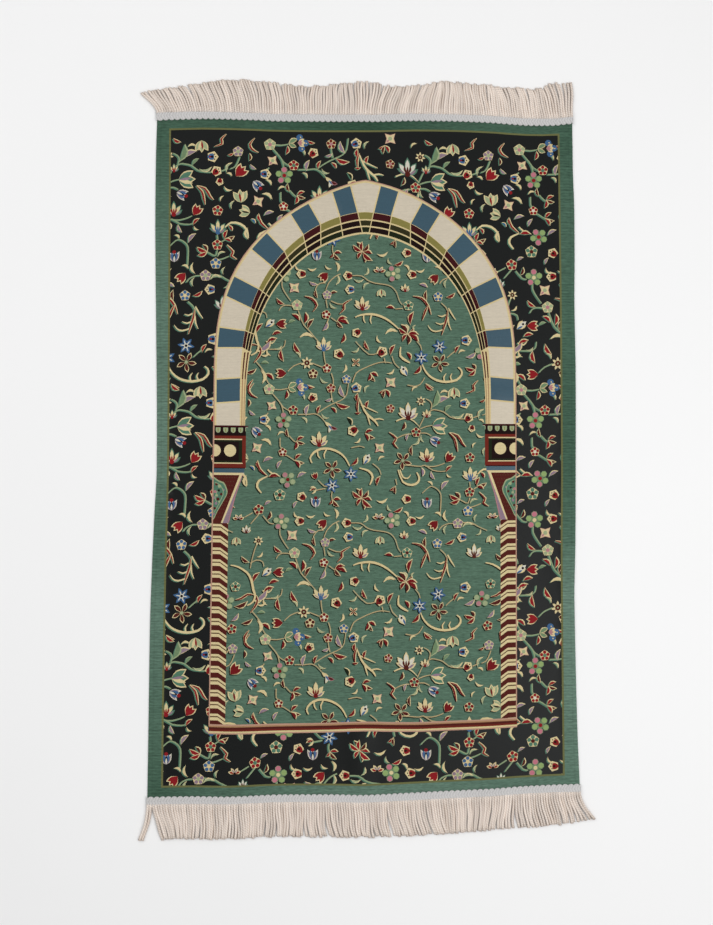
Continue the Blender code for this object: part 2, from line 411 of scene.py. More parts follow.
def stroke(points: Rows, start: float, middle: float, end: float, steps: int = 2) -> Outline:
    """A line of changing width: the smooth path's points, moved to both sides along its normals.

    The width runs from start to end, plus a bulge of sin(pi t) that gives it the middle width.

    Args:
        points: What it runs through.
        start: Width at the first point.
        middle: Width half way.
        end: Width at the last point.
        steps: Pieces between each two points.

    Returns:
        The outline.
    """
    line = smooth_path(points, steps)
    way = np.gradient(line, axis=0)
    way /= np.maximum(np.linalg.norm(way, axis=1, keepdims=True), 1e-9)
    t = np.linspace(0.0, 1.0, len(line))[:, None]
    bulge = middle - 0.5 * (start + end)
    half = 0.5 * (start + (end - start) * t + bulge * np.sin(math.pi * t))
    side = np.column_stack([-way[:, 1], way[:, 0]]) * half
    return np.concatenate([line - side, (line + side)[::-1]])


def facing_up(outline: Outline) -> Outline:
    """The outline run anticlockwise, told by the sign of its area."""
    x, y = outline[:, 0], outline[:, 1]
    area = np.sum(x * np.roll(y, -1) - y * np.roll(x, -1))
    return outline if area > 0.0 else outline[::-1]


# ---------------------------------------------------------------- the woven arch and its columns
@dataclass(frozen=True)
class ArchCurve:
    """Half of a pointed arch: x = a (1 - t^p)^q at height share t, straight down below it."""

    half_width: float
    spring: float
    height: float
    roundness: float
    point: float

    def inset(self, by: float) -> "ArchCurve":
        """The same arch drawn in by a distance."""
        return replace(self, half_width=self.half_width - by, height=self.height - by)

    def turn_of(self, y: float) -> float:
        """Turn along the curve at a height: arcsin of the height share, or straight run below."""
        share = (y - self.spring) / self.height
        return math.asin(min(share, 1.0)) if share > 0.0 else share

    def at(self, turn: np.ndarray) -> Outline:
        """Points of the left half at these turns.

        Args:
            turn: From 0 at the spring line to half pi at the point; below 0 on the straight side.

        Returns:
            The points, with x below 0.
        """
        turn = np.asarray(turn, float)
        share = np.where(turn > 0.0, np.sin(np.clip(turn, 0.0, POINT_TURN)), 0.0)
        x = self.half_width * (1.0 - share ** self.roundness) ** self.point
        y = self.spring + self.height * np.where(turn > 0.0, share, turn)
        return np.column_stack([-x, y])

    def above(self, foot: float, count: int) -> Outline:
        """Points of the left half from a height up to the point."""
        return self.at(np.linspace(self.turn_of(foot), POINT_TURN, count))


def mirrored(outline: Outline) -> Outline:
    """The outline on the other side of the rug's middle line."""
    return outline * np.array([-1.0, 1.0])


def both(outline: Outline | Rows, yarn: Yarn) -> list[Patch]:
    """A patch on the left of the frame and its mirror image on the right."""
    outline = np.array(outline, float)
    return [Patch(outline, yarn, Ground.FRAME), Patch(mirrored(outline), yarn, Ground.FRAME)]


@dataclass(frozen=True)
class WovenArch:
    """The arch of pale and blue stones on two banded columns, with its sill.

    Sizes are in mm and on the left side, which the right one mirrors. A row of joints has the
    heights where a stone's edge meets the outer, the middle and the inner curve. A row of cells
    has the shares of the way from the middle to the inner curve where it starts and ends, a thin
    line has its heights too, and a row of the sill has its depth, its height and its yarn.
    """

    outer: ArchCurve = ArchCurve(251.9, 98.2, 354.9, 3.11, 0.749)
    middle: ArchCurve = ArchCurve(208.8, 84.5, 315.0, 2.68, 0.566)
    inner: ArchCurve = ArchCurve(199.9, 33.1, 329.4, 2.93, 0.582)
    salmon_line: float = 1.8
    straw_line: float = 4.8
    joints: Rows = (
        (443, 398.6, 362.3), (432, 392, 356), (413.5, 379, 340.3), (394.5, 361, 326.7), (363.6, 333.6, 304.8),
        (334.6, 307.7, 288.7), (290.5, 270.4, 256.6), (256.2, 237.4, 227), (206, 200.7, 194.7),
        (171.6, 172.3, 164.7), (120.5, 123.4, 123), (81, 84.2, 84.8))
    stones_foot: float = 44.5
    joint_line: float = 2.4
    cell_line: float = 1.5
    cell_rows: Rows = ((0.02, 0.32), (0.385, 0.62), (0.685, 0.915))
    cells_foot: float = 165.0
    thin_lines: Sequence[tuple[float, float, float, float, Yarn]] = (
        (0.27, 0.45, 165, 121, Yarn.MAROON), (0.66, 0.84, 165, 121, Yarn.MAROON),
        (0.30, 0.46, 121, 44.5, Yarn.TAN), (0.70, 0.84, 121, 44.5, Yarn.TAN))
    aside: float = -1.5
    column_top: float = -112.7
    column_inside: float = -225.2
    chevron_pitch: float = 19.0
    chevron_knee: float = -237.3
    chevron_drop: float = 9.2
    chevron_start: float = 5.7
    chevrons: Sequence[tuple[float, float, Yarn]] = ((0, 8.4, Yarn.MAROON), (12.2, 1.9, Yarn.BROWN))
    sill_line: Rows = (
        (-254, -436), (-150, -437.6), (-60, -436.4), (-4, -433.8), (50, -436.8), (100, -438.8), (254, -438.8))
    sill_height: float = 15.7
    sill_half: float = 252.5
    sill_pitch: float = 14.0
    sill_rows: Sequence[tuple[float, float, Yarn]] = (
        (0, 2.4, Yarn.SALMON), (2.4, 2.2, Yarn.TAN), (4.6, 3.8, Yarn.MAROON), (8.4, 2.8, Yarn.RUST),
        (11.2, 2.6, Yarn.STRAW), (13.8, 2, Yarn.SALMON))

    def sill_points(self, drop: float, half: float) -> Outline:
        """Points of a line a distance under the sill's upper edge, from left to right."""
        x = np.linspace(-half, half, round(2.0 * half / self.sill_pitch) + 1)
        return np.column_stack([x, along(self.sill_line, x + self.aside) - drop])

    def grounds(self) -> list[Patch]:
        """Outlines of the whole frame, and of the field that it holds.

        Returns:
            The two patches.
        """
        beside_capital = ((self.column_inside, self.column_top), (-224.2, -112.7), (-214.2, -70.0),
                          (-202.7, -34.0), (-200.8, -32.2), (-200.8, -25.4), (-198.5, -25.4),
                          (-198.5, 41.5), (-194.8, 42.0), (-194.8, 44.8))
        frame = (self.outer.above(self.outer.spring, 26), self.sill_height, self.outer.half_width)
        inside = np.concatenate([beside_capital, self.inner.above(self.stones_foot, 26)])
        field = (inside, 0.0, -self.column_inside)
        frame, field = (np.concatenate([left, mirrored(left[:-1])[::-1], self.sill_points(drop, half)[::-1]])
                        for left, drop, half in (frame, field))
        return [Patch(frame, Yarn.IVORY, Ground.FRAME, True), Patch(field, Yarn.GREEN, Ground.FIELD, True)]

    def strip(self, outside: ArchCurve, inside: ArchCurve, turns: tuple[float, float, float, float],
              shares: tuple[float, float] = (0.0, 1.0), steps: int = 5) -> Outline:
        """A piece of the band between two curves.

        Args:
            outside: The outer curve.
            inside: The inner one.
            turns: Start and end turn on the outer curve, then on the inner.
            shares: Part of the way inwards at which the piece starts and ends.
            steps: Points along each side.

        Returns:
            The piece's outline: a blend of the two curves at each share.
        """
        t = np.linspace(0.0, 1.0, steps)
        out = outside.at(turns[0] + (turns[1] - turns[0]) * t)
        into = inside.at(turns[2] + (turns[3] - turns[2]) * t)
        return np.concatenate([out + (into - out) * shares[0], (out + (into - out) * shares[1])[::-1]])

    def stones(self) -> list[Patch]:
        """The stones, the joints between them and the three rows of cells under them.

        Returns:
            Their patches.
        """
        stone_edge = self.outer.inset(self.straw_line)
        curves = (stone_edge, self.middle, self.inner)
        rows = [(POINT_TURN,) * 3]
        rows += [tuple(curve.turn_of(height) for curve, height in zip(curves, heights))
                 for heights in (*self.joints, (self.stones_foot,) * 3)]
        kinds = ((Yarn.IVORY, Yarn.OLIVE, Yarn.DARK_OLIVE, Yarn.MOSS),
                 (Yarn.BLUE, Yarn.WINE, Yarn.COAL, Yarn.COAL))
        patches: list[Patch] = []
        for place, (above, below) in enumerate(zip(rows, rows[1:])):
            stone, *cells = kinds[place % 2]
            turns = (above[0], below[0], above[1], below[1])
            patches += both(self.strip(stone_edge, self.middle, turns), stone)
            turns = (above[1], below[1], above[2], below[2])
            if self.middle.at([below[1]])[0, 1] >= self.cells_foot:
                for shares, yarn in zip(self.cell_rows, cells):
                    patches += both(self.strip(self.middle, self.inner, turns, shares), yarn)
        for row in rows[1:-1]:
            ends = np.concatenate([curve.at([turn]) for curve, turn in zip(curves, row)])
            for line, wide in ((ends[:2], self.joint_line), (ends[1:], self.cell_line)):
                patches += both(stroke(line, wide, wide, wide, 1), Yarn.STRAW)
        for start, end, upper, lower, yarn in self.thin_lines:
            turns = [curve.turn_of(height) for curve in curves[1:] for height in (upper, lower)]
            patches += both(self.strip(self.middle, self.inner, turns, (start, end)), yarn)
        return patches

    def trims(self) -> list[Patch]:
        """The lines round the frame, straw inside salmon, and the straw ground of the cells.

        Returns:
            Their patches.
        """
        foot = self.stones_foot
        edges = [self.outer.inset(by).above(foot, 30) for by in (-2.0, self.salmon_line, self.straw_line)]
        band = (self.middle.turn_of(foot), POINT_TURN, self.inner.turn_of(foot), POINT_TURN)
        return [*both(np.concatenate([edges[0], edges[1][::-1]]), Yarn.SALMON),
                *both(np.concatenate([edges[1], edges[2][::-1]]), Yarn.STRAW),
                *both(self.strip(self.middle, self.inner, band, (0.0, 1.0), 30), Yarn.STRAW)]

    def bracket(self) -> list[Patch]:
        """Under the capital: a dotted ground, a flowered leaf, and lines that slant down and out.

        Returns:
            Their patches.
        """
        top, foot, left = -35.7, self.column_top - 1.0, -252
        patches = both(((left, top), (-206, top), (-235.5, foot), (left, foot)), Yarn.MAROON)
        for row in range(11):
            for column in range(10):
                x = -250.0 + 4.2 * column + 2.1 * (row % 2)
                y = -40.0 - 6.4 * row
                if x < -211.0 - (top - y) * 0.38:
                    patches += both(disc(x, y, 1.0, 4), Yarn.BROWN)
        leaf_edge = np.array([(left, -38), (-248.6, -40.4), (-242, -44.9), (-234, -47.7), (-230.2, -54.3),
                              (-227.6, -62.1), (-229, -68.8), (-233, -76.6), (-238.6, -86.6),
                              (-244, -96.6), (-248.5, -106.6), (left, -110)], float)
        centre = np.array([-252.0, -75.0])
        patches += both(smooth_path(leaf_edge, 2), Yarn.PALE)
        patches += both(smooth_path(centre + (leaf_edge - centre) * 0.93, 2), Yarn.TEAL)
        for x, y, size, yarn in (
                (-241, -54, 3.0, Yarn.PALE), (-246, -51, 2.4, Yarn.MAROON), (-234, -60, 1.8, Yarn.LAVENDER),
                (-248, -63, 2.6, Yarn.PINK), (-242, -61, 2.2, Yarn.MOSS), (-238, -67, 2.4, Yarn.MAROON),
                (-245, -69, 2.2, Yarn.PALE), (-243, -75, 2.8, Yarn.MAROON), (-249, -73, 2.2, Yarn.LAVENDER),
                (-246, -82, 2.4, Yarn.LAVENDER), (-241, -79, 1.8, Yarn.PALE), (-248, -90, 2.2, Yarn.MAROON),
                (-249, -99, 1.8, Yarn.LAVENDER)):
            patches += both(lobed(size, 5, 0.25) + (x, y), yarn)
        for path in ((-249, -48, -242, -51, -236, -58, -235, -68, -243, -86, -249, -97),
                     (-244, -62, -248, -72, -245, -80)):
            patches += both(stroke(path, 0.9, 1.1, 0.8, 2), Yarn.PALE)
        slant = ((-204.2, top), (-202.0, -34.0), (-213.0, -70.0), (-223.0, foot), (-234.6, foot))
        return [*patches, *both(((-208.6, top), (-202.5, -33.0), (-228.0, foot), (-237.4, foot)), Yarn.CREAM),
                *both(slant, Yarn.LAVENDER),
                *both(stroke((-203.0, -34.5, -214.8, -70.0, -224.9, foot), 1.3, 1.5, 1.3), Yarn.PINK)]

    def capital(self) -> list[Patch]:
        """The block that the arch stands on: its panels, a row of tongues and two discs.

        Returns:
            Their patches.
        """
        patches = [patch for bottom, right, top, yarn in (
            (28, -198.5, 44.5, Yarn.COAL), (42.3, -194.8, 44.8, Yarn.WINE), (22.9, -198.5, 28, Yarn.RUST),
            (21.1, -203.8, 23.1, Yarn.CREAM), (-24, -198.5, -17.5, Yarn.RUST)
        ) for patch in both(box(-252, bottom, right, top), yarn)]
        patches += both(box(-204.6, -24, -198.5, 28), Yarn.RUST)
        for bottom, right, top, yarn in (
                (-15.8, -204.6, 21.1, Yarn.MOSS), (-12.8, -210.2, 18.4, Yarn.COAL),
                (-17.5, -203.8, -15.7, Yarn.CREAM), (-25.4, -199, -24, Yarn.COAL),
                (-32.2, -200.8, -25.4, Yarn.BLUE), (-35.9, -203.4, -32.2, Yarn.CREAM)):
            patches += both(box(-252, bottom, right, top), yarn)
        tongue = np.array([(-3.9, 41.4), (3.9, 41.4), (3.9, 36.4), (2.8, 34.0), (0, 32.6), (-2.8, 34.0),
                           (-3.9, 36.4)])
        for x in (-244.2, -231.8, -219.4, -207.2, -195.6):
            patches += both(tongue + (x, 0.0), Yarn.PALE)
            patches += both(box(x - 0.8, 34.5, x + 0.8, 40.0), Yarn.OLIVE)
        for x in (-224.4, -249.6):
            patches += both(disc(x, 4.0, 9.9, 28), Yarn.CREAM)
        return patches

    def columns(self) -> list[Patch]:
        """The banded columns: stripes level on the outside that slant down towards the field.

        Returns:
            Their patches.
        """
        outside, knee, inside = -self.outer.half_width, self.chevron_knee, self.column_inside + 1.0
        foot = self.sill_line[0][1] - 3.0
        patches = both(box(outside, foot, inside, self.column_top), Yarn.CREAM)
        for place in range(math.ceil((self.column_top - foot) / self.chevron_pitch) + 2):
            for start, wide, yarn in self.chevrons:
                top = self.column_top + self.chevron_start - place * self.chevron_pitch - start
                bottom, drop = top - wide, self.chevron_drop
                patches += both([(outside, top), (knee, top), (inside, top - drop),
                                 (inside, bottom - drop), (knee, bottom), (outside, bottom)], yarn)
        return patches

    def edges(self) -> list[Patch]:
        """The salmon line down the outside of each column, and the lines of the sill.

        Returns:
            Their patches.
        """
        outside = -self.outer.half_width
        line = box(outside - 1.0, self.sill_line[-1][1] - self.sill_height,
                   outside + self.salmon_line, self.stones_foot)
        sill = [[self.sill_points(depth, self.sill_half) for depth in (drop, drop + height)]
                for drop, height, _ in self.sill_rows]
        return [*both(line, Yarn.SALMON),
                *(Patch(np.concatenate([upper, lower[::-1]]), row[2], Ground.FRAME)
                  for (upper, lower), row in zip(sill, self.sill_rows))]

    def patches(self) -> list[Patch]:
        """All of the frame, those that lie under others first, a little to the left of the middle.

        Returns:
            All the patches.
        """
        drawn = [*self.grounds(), *self.columns(), *self.trims(), *self.stones(), *self.bracket(),
                 *self.capital(), *self.edges()]
        return [replace(patch, outline=patch.outline + (self.aside, 0.0)) for patch in drawn]


# ---------------------------------------------------------------- flowers and leaves
Layers = list[tuple[Outline, Yarn]]


def petals(count: int, length: float, width: float, yarn: Yarn, start: float = 0.0,
           spread: float = 360.0, belly: float = 0.55, bend: float = 0.0) -> Layers:
    """Blades that leave the origin at even angles, all round or in a fan.

    Args:
        count: How many.
        length: Of each.
        width: Of each.
        yarn: Their yarn.
        start: Turn of a round's first blade from +Y, or of a fan's middle one.
        spread: Whole angle that they fill; 360 is a round.
        belly: Where each is widest.
        bend: How far each bows aside.

    Returns:
        A layer for each blade.
    """
    one = blade(length, width, bend, belly, 4)
    if spread >= 360.0:
        turns = start + np.arange(count) * 360.0 / count
    else:
        turns = start + np.linspace(-0.5, 0.5, count) * spread
    return [(turned(one, turn), yarn) for turn in turns]


def fans(size: float, *rows: tuple[Any, ...]) -> Layers:
    """Petals from rows of petals()'s values, whose length and width are shares of a size."""
    return [layer for count, length, width, *rest in rows
            for layer in petals(count, length * size, width * size, *rest)]


def ring(count: int, out: float, radius: float, sides: int, yarn: Yarn) -> Layers:
    """Round dots at even angles about the origin, the first towards +Y."""
    return [(turned(disc(0.0, out, radius, sides), 360.0 / count * place), yarn) for place in range(count)]


def heart(size: float, sides: int, yarn: Yarn, y: float = 0.0) -> Layers:
    """A round patch on the motif's middle line."""
    return [(disc(0.0, y, size, sides), yarn)]


def leaf(length: float, width: float, bend: float, edge: Yarn, inner: Yarn) -> Layers:
    """A leaf from the origin up, with an edge of one yarn round another."""
    return [(blade(length, width, bend, 0.52, 4), edge),
            (blade(0.88 * length, 0.74 * width, bend, 0.52, 3) + (0.0, 0.06 * length), inner)]


def dropped(layers: Layers, by: float) -> Layers:
    """Layers let down by a distance."""
    return [(outline - (0.0, by), yarn) for outline, yarn in layers]


def moved(layers: Layers, x: float, y: float, turn: float = 90.0) -> Layers:
    """Layers drawn pointing up, turned to point the way of turn and moved to (x, y)."""
    return [(turned(outline, turn - 90.0) + (x, y), yarn) for outline, yarn in layers]


@dataclass(frozen=True)
class Motifs:
    """The design's flowers, each a few layers of yarn drawn round the origin and pointing up.

    A method draws one flower: it takes the flower's size in mm, which is about half its width, and
    the yarns of its parts, and returns its layers, lowest first.
    """

    edge: Yarn
    red: Yarn
    rim: Yarn
    pink: Yarn
    green: Yarn

    def rose(self, size: float, middle: Yarn, dots: Yarn) -> Layers:
        """Five round dots on a lobed edge, about a round heart."""
        return [(lobed(size, 5, 0.26), self.edge), *ring(5, 0.60 * size, 0.33 * size, 6, dots),
                *heart(0.33 * size, 7, middle)]

    def blue_star(self, size: float) -> Layers:
        """Six pointed petals with pale ribs between them and a dark eye."""
        return [*fans(size, (6, 1.0, 0.46, Yarn.SKY, 20.0, 360.0, 0.45), (6, 0.72, 0.13, Yarn.WHITE, 20.0),
                      (6, 0.62, 0.12, Yarn.NAVY, 50.0)),
                *heart(0.27 * size, 8, Yarn.WHITE), *heart(0.17 * size, 7, Yarn.COAL)]

    def starfish(self, size: float) -> Layers:
        """Five long petals with pale edges."""
        return [*fans(size, (5, 1.0, 0.44, self.edge, -28.0, 360.0, 0.6, 0.04),
                      (5, 0.90, 0.33, Yarn.MAROON, -28.0, 360.0, 0.62, 0.05)),
                (lobed(0.2 * size, 5, 0.3, 62.0, 2), Yarn.PALE)]

    def posy(self, size: float, middle: Yarn) -> Layers:
        """Five round heads on short stalks, pink and green by turns."""
        under = ring(5, 0.92 * size, 0.55 * size, 7, Yarn.LEAF)
        tops = [ring(5, 0.95 * size, 0.45 * size, 7, yarn)[place] for place, yarn in
                enumerate((self.pink, self.green, self.pink, self.green, self.green))]
        heads = [layer for pair in zip(under, tops) for layer in pair]
        return [*heart(0.62 * size, 6, Yarn.LEAF), *heads, *heart(0.34 * size, 7, middle)]

    def pied(self, size: float, side: Yarn, spot: Yarn) -> Layers:
        """A lobed flower in two colours: its lower half dark, its upper half pale with specks."""
        speck = disc(0.0, 0.55 * size, 0.14 * size, 5)
        specks = [(turned(speck, turn), Yarn.COAL) for turn in (-55.0, 0.0, 55.0)]
        return [(lobed(1.06 * size, 5, 0.34), self.edge),
                (lobed(0.70 * size, 3, 0.35, -90.0) - (0.0, 0.28 * size), side), *specks,
                *heart(0.26 * size, 6, Yarn.COAL, -0.1 * size), *heart(0.2 * size, 6, spot, -0.5 * size)]

    def tulip(self, size: float) -> Layers:
        """Three red petals closed in a bud, on a pale edge."""
        rows = ((3, 1.85, 0.80, self.edge, 0.0, 46.0), (3, 1.64, 0.60, self.red, 0.0, 44.0))
        return dropped(fans(size, *rows), 0.8 * size)

    def lotus(self, size: float, core: Yarn, petal: Yarn) -> Layers:
        """An open flower seen from the side: five pointed petals about a dark core."""
        layers = fans(size, (2, 1.30, 0.52, self.rim, 0.0, 118.0, 0.5, 0.05),
                      (2, 1.05, 0.26, Yarn.LAVENDER, 0.0, 118.0, 0.5, 0.05),
                      (2, 1.60, 0.56, self.rim, 0.0, 72.0, 0.6), (2, 1.42, 0.44, petal, 0.0, 72.0, 0.6),
                      (2, 0.95, 0.36, core, 0.0, 44.0, 0.6), (1, 1.85, 0.60, self.rim, 0.0, 1.0, 0.6),
                      (1, 1.62, 0.46, petal, 0.0, 1.0, 0.6), (1, 0.9, 0.22, core, 0.0, 1.0))
        return dropped([*layers, *heart(0.30 * size, 7, core, 0.1 * size)], 0.75 * size)

    def bell(self, size: float, petal: Yarn) -> Layers:
        """A shield of two colours in a pale edge, with a red dot at its tip."""
        layers = fans(size, (3, 2.0, 0.80, Yarn.WHITE, 0.0, 52.0, 0.42),
                      (3, 1.7, 0.52, Yarn.LAVENDER, 0.0, 54.0, 0.42), (2, 1.7, 0.60, petal, 0.0, 30.0, 0.55),
                      (1, 1.5, 0.50, Yarn.COAL, 0.0, 1.0, 0.45), (1, 1.1, 0.34, Yarn.WHITE, 0.0, 1.0, 0.45))
        return dropped([*layers, *heart(0.32 * size, 8, self.red, 1.72 * size)], 1.1 * size)

    def cornflower(self, _size: float) -> Layers:
        """A pale calyx, a pink throat and three blue heads along the stem, always of one size."""
        heads = [(disc(x, y, 5.6, 9), Yarn.SKY) for x, y in ((-9.0, 3.5), (0.5, 13.0), (9.5, 6.5))]
        eyes = [(disc(x, y, 1.3, 5), Yarn.STRAW) for x, y in ((-9.5, 5.0), (1.0, 14.5), (10.5, 7.5))]
        return [*moved(leaf(17.0, 9.0, -0.08, self.edge, Yarn.LEAF), 1.0, -15.0, 118.0),
                *moved(leaf(15.0, 8.0, 0.08, self.edge, Yarn.LEAF), 0.0, -15.0, 62.0), *heads,
                *petals(3, 13.0, 6.5, self.edge, 0.0, 62.0, 0.6),
                *petals(3, 9.0, 3.2, Yarn.PINK, 0.0, 62.0, 0.6), *eyes]

    def lily(self, _size: float) -> Layers:
        """A pale trumpet with a blue throat and a dark tip, always of one size."""
        rows = ((13.0, 6.0, 0.12, self.edge, Yarn.STRAW, 0.0, -11.0, 104.0),
                (12.0, 5.0, -0.15, self.edge, Yarn.WHITE, 0.0, -2.0, 42.0),
                (12.0, 4.5, 0.0, Yarn.WHITE, Yarn.SKY, 0.0, -4.0, 84.0),
                (12.0, 6.0, 0.1, Yarn.PINK, Yarn.MAROON, -1.0, 1.0, 112.0))
        return [layer for row in rows for layer in moved(leaf(*row[:5]), *row[5:])]

    def square(self, size: float) -> Layers:
        """A four-cornered bloom with hollow sides and a pale heart."""
        return [(star(1.42 * size, 4, 0.50, 45.0), Yarn.BLUSH), (star(1.24 * size, 4, 0.46, 45.0), self.edge),
                *moved(fans(size, (1, 0.9, 0.4, Yarn.PINK, 0.0, 1.0)), -0.1 * size, -0.1 * size, 225.0),
                *heart(0.42 * size, 6, Yarn.PALE)]

    def daisy(self, size: float) -> Layers:
        """Short pale petals round a dark heart."""
        return [*fans(size, (7, 1.15, 0.46, self.edge)), *heart(0.50 * size, 8, Yarn.MAROON),
                *heart(0.18 * size, 5, Yarn.PALE)]

    def fish_bud(self, size: float) -> Layers:
        """A long pale bud with a dark eye and a blue fin."""
        layers = fans(size, (2, 0.85, 0.34, self.edge, 0.0, 30.0, 0.6),
                      (1, 1.0, 0.36, Yarn.WHITE, 0.0, 1.0, 0.62), (1, 0.55, 0.16, Yarn.SKY, -12.0, 1.0))
        return dropped([*layers, (disc(0.02 * size, 0.66 * size, 0.10 * size, 7), Yarn.COAL)], 0.5 * size)

    def moth(self, size: float) -> Layers:
        """Two pairs of wings, red in front and pale behind."""
        return [*fans(size, (2, 1.0, 0.52, self.edge, 0.0, 150.0), (2, 0.8, 0.34, self.red, 0.0, 150.0),
                      (2, 0.95, 0.46, self.edge, 0.0, 66.0), (2, 0.7, 0.22, Yarn.LAVENDER, 0.0, 66.0)),
                *heart(0.18 * size, 6, Yarn.COAL)]

    def claw(self, size: float) -> Layers:
        """Three curved blades from one foot, red between two pale ones."""
        rows = ((1.3, 0.36, self.edge, 26.0, 1.0, 0.5, -0.16), (1.2, 0.36, self.edge, -30.0, 1.0, 0.5, 0.16),
                (1.35, 0.42, self.edge, -2.0, 1.0, 0.6, 0.1), (1.15, 0.30, self.red, -2.0, 1.0, 0.6, 0.1))
        return dropped(fans(size, *((1, *row) for row in rows)), 0.6 * size)

    def vine_leaf(self, size: float, half: Yarn, rib: Yarn) -> Layers:
        """A broad leaf of three lobes in two colours, with a narrow blade on it."""
        rows = ((3, 1.75, 0.84, self.edge, 0.0, 62.0, 0.5), (3, 1.58, 0.62, half, 0.0, 60.0, 0.5),
                (1, 1.5, 0.46, self.edge, -16.0, 1.0, 0.5), (1, 1.3, 0.28, rib, 6.0, 1.0, 0.55))
        return dropped(fans(size, *rows), 0.9 * size)

    def quatrefoil(self, size: float) -> Layers:
        """Four pale leaves with red ribs."""
        return fans(size, (4, 1.0, 0.5, self.edge, 45.0), (4, 0.78, 0.24, self.red, 45.0))


@dataclass(frozen=True)
class Bloom:
    """A flower of the repeat: its motif and yarns, and a row of (x, y, size) for each one.

    Places and sizes are in mm. A row may have its turn in degrees too, which is 90, upright, where
    it has none. A yarn of None is the ground's own red.
    """

    motif: Callable[..., Layers]
    yarns: tuple[Yarn | None, ...]
    rows: Rows


BLOOMS = (
    Bloom(Motifs.rose, (Yarn.TEAL, None), (
        (-120, 67, 8.5), (-177, -95, 9, 96), (83, 32, 8.5), (172, -10, 8.5, 84), (171, -67, 8.5),
        (199, -287, 8.5, 100))),
    Bloom(Motifs.rose, (Yarn.WHITE, None), ((-138, -2, 7.5), (-70, -183, 8, 80), (-70, -272, 8))),
    Bloom(Motifs.rose, (Yarn.PINK, Yarn.RUST), ((-57, 103, 8, 94), (41, 71, 7.5, 80))),
    Bloom(Motifs.rose, (Yarn.CREAM, Yarn.MAROON), ((-93, -281, 8.5),)),
    Bloom(Motifs.rose, (Yarn.PINK, Yarn.PALE), ((-159, 102, 9.5), (-118, -167, 9.5))),
    Bloom(Motifs.rose, (Yarn.MAROON, Yarn.TEAL), ((-143, -72, 10), (-214, -219, 8.5), (67, -166, 9))),
    Bloom(Motifs.rose, (Yarn.PALE, Yarn.LAVENDER), ((-68, -150, 8), (151, -118, 9), (-212, 89, 8.5))),
    Bloom(Motifs.rose, (Yarn.STRAW, Yarn.SKY), ((168, -98, 9), (117, -150, 8.5), (-38, -290, 8))),
    Bloom(Motifs.blue_star, (), ((-57, -57, 13), (-26, -38, 13, 70), (118, -233, 13), (87, -252, 13, 70))),
    Bloom(Motifs.starfish, (), ((-57, -30, 16), (60, -15, 16, 80), (118, -260, 16))),
    Bloom(Motifs.posy, (None,), ((-136, 50, 9.5), (-130, -47, 9.5, 120), (190, -243, 9.5))),
    Bloom(Motifs.posy, (Yarn.CREAM,), ((-140, -116, 9.5), (43, -113, 9.5, 110))),
    Bloom(Motifs.pied, (None, Yarn.RUST), (
        (-87, 88, 8, 45), (-22, 33, 9, 215), (171, 56, 8, 45), (176, 38, 6, 260), (66, -78, 8, 180),
        (-107, -75, 8, 140), (-110, -115, 8, 180), (-33, -118, 8, 180), (74, -114, 8, 180),
        (-20, -213, 8, 215), (-50, -248, 9, 140), (22, -243, 9, 45))),
    Bloom(Motifs.pied, (Yarn.SKY, None), (
        (-167, 52, 8.5, 0), (-15, 104, 8.5, 20), (165, 80, 8.5, 0), (-30, -141, 8, 180), (158, -141, 8, 180),
        (163, -223, 9, 0))),
    Bloom(Motifs.tulip, (), (
        (137, -10, 10, 55), (-72, -119, 10, 225), (112, -119, 10, 225), (-209, 55, 12, 45),
        (-145, -280, 10, 180), (-145, -198, 10, 0), (-85, -42, 6.5, 110))),
    Bloom(Motifs.lotus, (None, Yarn.CREAM), (
        (-78, 18, 13), (100, -6, 12), (-10, -165, 12), (101, 63, 7), (62, -137, 7))),
    Bloom(Motifs.lotus, (Yarn.MAROON, Yarn.WHITE), ((70, 65, 15), (178, -165, 12), (-197, -127, 7))),
    Bloom(Motifs.lotus, (Yarn.SKY, Yarn.CREAM), ((172, -38, 12), (-75, -233, 12))),
    Bloom(Motifs.bell, (Yarn.SKY,), ((-180, 32, 9, -45), (115, 18, 9, -25), (-84, -83, 9), (100, -83, 9))),
    Bloom(Motifs.cornflower, (), ((-113, 105, 1, 0),)),
    Bloom(Motifs.lily, (), ((-60, 40, 1, -45),)),
    Bloom(Motifs.square, (), (
        (-155, 75, 7, 98), (-180, 6, 7.5, 80), (42, 114, 8), (22, 6, 7.5), (-122, -138, 8))),
    Bloom(Motifs.daisy, (), ((92, 84, 7), (-103, -263, 9), (-177, -146, 7))),
    Bloom(Motifs.fish_bud, (), ((-163, -197, 20, 40), (0, -13, 20, 60), (58, -275, 20, 120))),
    Bloom(Motifs.moth, (), ((20, -110, 11), (-210, -110, 10))),
    Bloom(Motifs.claw, (), ((-88, -64, 9, 200),)),
    Bloom(Motifs.vine_leaf, (Yarn.PALE, None), (
        (147, 97, 11, 270), (-209, 15, 12, 95), (22, -146, 8, 270), (-213, -146, 8, 270))),
    Bloom(Motifs.vine_leaf, (Yarn.TEAL, Yarn.LAVENDER), ((123, 43, 15, 0),)),
    Bloom(Motifs.vine_leaf, (Yarn.PALE, Yarn.COAL), ((-203, -11, 10, 165),)),
    Bloom(Motifs.quatrefoil, (), ((-22, -262, 9),)),
)


class LeafKind(Enum):
    """Edge and middle yarn of each kind of leaf."""

    RED = (Yarn.CREAM, Yarn.RED)
    MAROON = (Yarn.CREAM, Yarn.MAROON)
    LAVENDER = (Yarn.CREAM, Yarn.LAVENDER)
    PALE = (Yarn.CREAM, Yarn.PALE)
    CREAM = (Yarn.CREAM, Yarn.STRAW)
    GREEN = (Yarn.PALE, Yarn.LEAF)
    DARK = (Yarn.CREAM, Yarn.MOSS)
    BLUE = (Yarn.CREAM, Yarn.SKY)


